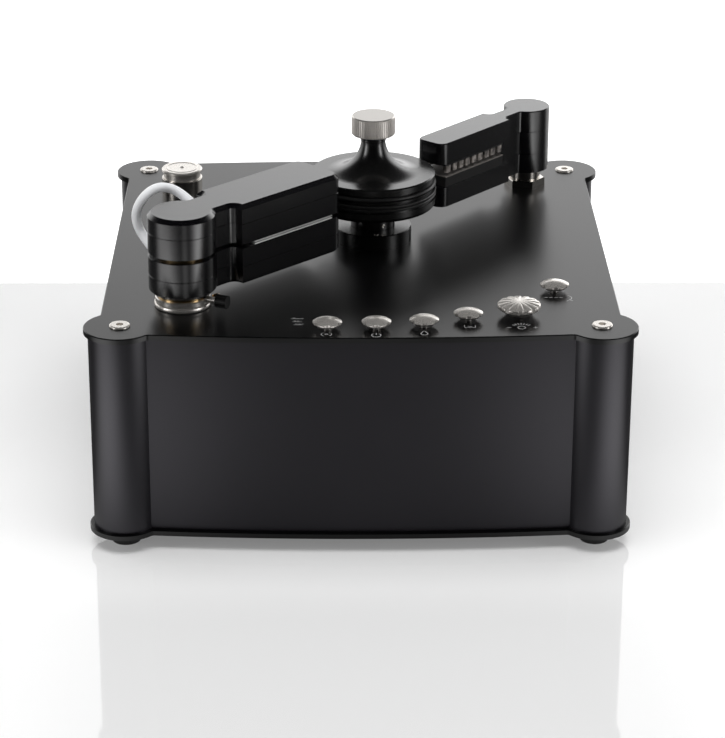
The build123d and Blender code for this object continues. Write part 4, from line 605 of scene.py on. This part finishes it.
def make_floor():
    """Pale matt table top, a shade darker than the backdrop behind its edge.

    In reflections the table is bright on both sides of the object and behind it, with a card of light in
    front, and fades out towards the camera.
    """
    material = bpy.data.materials.new("floor_white")
    material.use_nodes = True
    tree = material.node_tree
    shader = tree.nodes["Principled BSDF"]
    shader.inputs["Base Color"].default_value = (FLOOR_GREY, FLOOR_GREY, FLOOR_GREY, 1.0)
    shader.inputs["Roughness"].default_value = 0.6
    shader.inputs["Specular IOR Level"].default_value = 0.0
    path = tree.nodes.new("ShaderNodeLightPath")
    axes = axes_of(tree, "ShaderNodeTexCoord", "Object")
    depth = axes["Y"]
    aside = calculated(tree, "ABSOLUTE", axes["X"])

    # glow that the camera sees: past the edge, on the table, beside the object, at its foot and far off;
    # beside the object and at its foot it is painted light
    edge = ramp(tree, depth, FLOOR_EDGE, FLOOR_EDGE + 0.004, 0.0, 0.9)
    near = ramp(tree, depth, -0.05, 0.32, FLOOR_GLOW, 0.13)
    # painted light beside the object, which leaves a painted darker strip on the table in front of it
    flank = product(tree, ramp(tree, aside, 0.17, 0.23, 0.0, 0.04), ramp(tree, depth, 0.0, 0.28, 1.0, 0.0))
    # painted pool of light on the table at the object's front, which lifts its shadow there
    foot = product(tree, ramp(tree, depth, -0.30, -0.20, 0.0, 0.10), ramp(tree, depth, -0.1, 0.1, 1.0, 0.0))
    lift = total(tree, edge, near, flank, foot, far_off(tree, 0.62, 1.3, 0.0, 0.7))
    seen = tree.nodes.new("ShaderNodeAddShader")
    link(tree, shader.outputs["BSDF"], seen.inputs[0])
    link(tree, emission(tree, product(tree, lift, path.outputs["Is Camera Ray"])), seen.inputs[1])

    # what the object mirrors: the table in front, its two bright wings, the card and the part behind
    front = ramp(tree, depth, -0.60, -0.44, 0.02, 0.42)
    wings = product(tree, ramp(tree, aside, 0.06, 0.34, 0.0, 2.5), ramp(tree, depth, -0.62, -0.52, 0.03, 1.0),
                    ramp(tree, aside, 0.42, 0.62, 1.0, 0.3))
    beside = ramp(tree, depth, -0.34, -0.08, 1.0, 0.03)
    card_depth = product(tree, ramp(tree, depth, -0.78, -0.70, 0.0, 1.0),
                         ramp(tree, depth, -0.62, -0.57, 1.0, 0.0))
    card = product(tree, ramp(tree, aside, 0.05, 0.10, 1.1, 0.0), card_depth)
    behind = ramp(tree, depth, 0.32, 0.50, 0.0, 0.8)
    mirrored = total(tree, product(tree, total(tree, front, wings), beside), card, behind)

    show_mix(tree, path.outputs["Is Glossy Ray"], seen.outputs["Shader"], emission(tree, mirrored))
    floor = sheet("floor", FLOOR_REACH, FLOOR_REACH, FLOOR_LEVEL, material)


def make_world():
    """Bright backdrop low behind the object and on both sides, dark overhead and on the camera's side.

    The camera itself sees plain white.
    """
    world = bpy.data.worlds.new("studio")
    bpy.context.scene.world = world
    world.use_nodes = True
    tree = world.node_tree
    backdrop = tree.nodes["Background"]
    axes = axes_of(tree, "ShaderNodeTexCoord", "Generated")
    behind = ramp(tree, axes["Y"], 0.02, 0.60, 0.01, BACKDROP_LEVEL)
    low = ramp(tree, axes["Z"], 0.30, 0.52, 1.0, 0.015)
    tilt = ramp(tree, axes["X"], -0.14, 0.10, 0.84, 1.12)
    flank = product(tree, ramp(tree, calculated(tree, "ABSOLUTE", axes["X"]), 0.60, 0.82, 0.0, 1.1),
                    ramp(tree, axes["Y"], -0.34, -0.14, 1.0, 0.0),
                    ramp(tree, axes["Z"], 0.30, 0.55, 1.0, 0.0))
    around = total(tree, product(tree, behind, low, tilt), flank)
    seen = tree.nodes.new("ShaderNodeLightPath").outputs["Is Camera Ray"]
    to_white = calculated(tree, "SUBTRACT", seen, around)
    level = total(tree, around, product(tree, to_white, seen))
    link(tree, level, backdrop.inputs["Strength"])
    backdrop.inputs["Color"].default_value = (1.0, 1.0, 1.0, 1.0)


def lamp(name, place, target, size, power):
    """Rectangular soft lamp that faces a target."""
    data = bpy.data.lights.new(name, "AREA")
    data.shape = "RECTANGLE"
    data.size, data.size_y = size
    data.energy = power
    light = bpy.data.objects.new(name, data)
    light.location = place
    light.rotation_euler = (Vector(target) - Vector(place)).to_track_quat("-Z", "Y").to_euler()
    bpy.context.scene.collection.objects.link(light)
    return light


def make_gloss():
    """Clear gloss on the table that only the camera sees, and a wide lamp that only this gloss mirrors."""
    material = bpy.data.materials.new("clear_gloss")
    material.use_nodes = True
    tree = material.node_tree
    fresnel = tree.nodes.new("ShaderNodeFresnel")
    fresnel.inputs["IOR"].default_value = 1.6
    mirror = tree.nodes.new("ShaderNodeBsdfGlossy")
    mirror.inputs["Roughness"].default_value = 0.05
    clear = tree.nodes.new("ShaderNodeBsdfTransparent")
    share = product(tree, fresnel.outputs["Fac"], far_off(tree, 0.6, 1.0, 1.0, 0.0))
    show_mix(tree, share, clear.outputs["BSDF"], mirror.outputs["BSDF"])
    gloss = sheet("table_gloss", GLOSS_REACH, FLOOR_EDGE, GLOSS_LEVEL, material)
    gloss.visible_diffuse = gloss.visible_glossy = gloss.visible_transmission = gloss.visible_shadow = False

    light = lamp("table_mirror", (0.0, 4.0, 2.7), (0.0, 0.0, 2.7), (9.0, 2.0), MIRROR_POWER)
    light.visible_camera = False
    receivers = bpy.data.collections.new("table_only")
    receivers.objects.link(gloss)
    light.light_linking.receiver_collection = receivers
    light.data.use_nodes = True
    tree = light.data.node_tree
    rise = ramp(tree, axes_of(tree, "ShaderNodeNewGeometry", "Position")["Z"], 1.75, 2.35, 0.0, 1.0)
    link(tree, rise, tree.nodes["Emission"].inputs["Strength"])


make_floor()
make_gloss()
make_world()
key = lamp("key_top", (0.0, -0.35, 2.6), (0.0, 0.0, 0.1), (2.8, 2.2), KEY_POWER)
key.visible_glossy = False
lamp("strip_left", (-1.6, -0.7, 0.55), (0.0, 0.0, 0.1), (0.4, 1.0), STRIP_POWER)
lamp("strip_right", (1.5, -0.8, 0.55), (0.0, 0.0, 0.1), (0.4, 1.0), STRIP_POWER)

bpy.context.scene.view_settings.view_transform = "Standard"
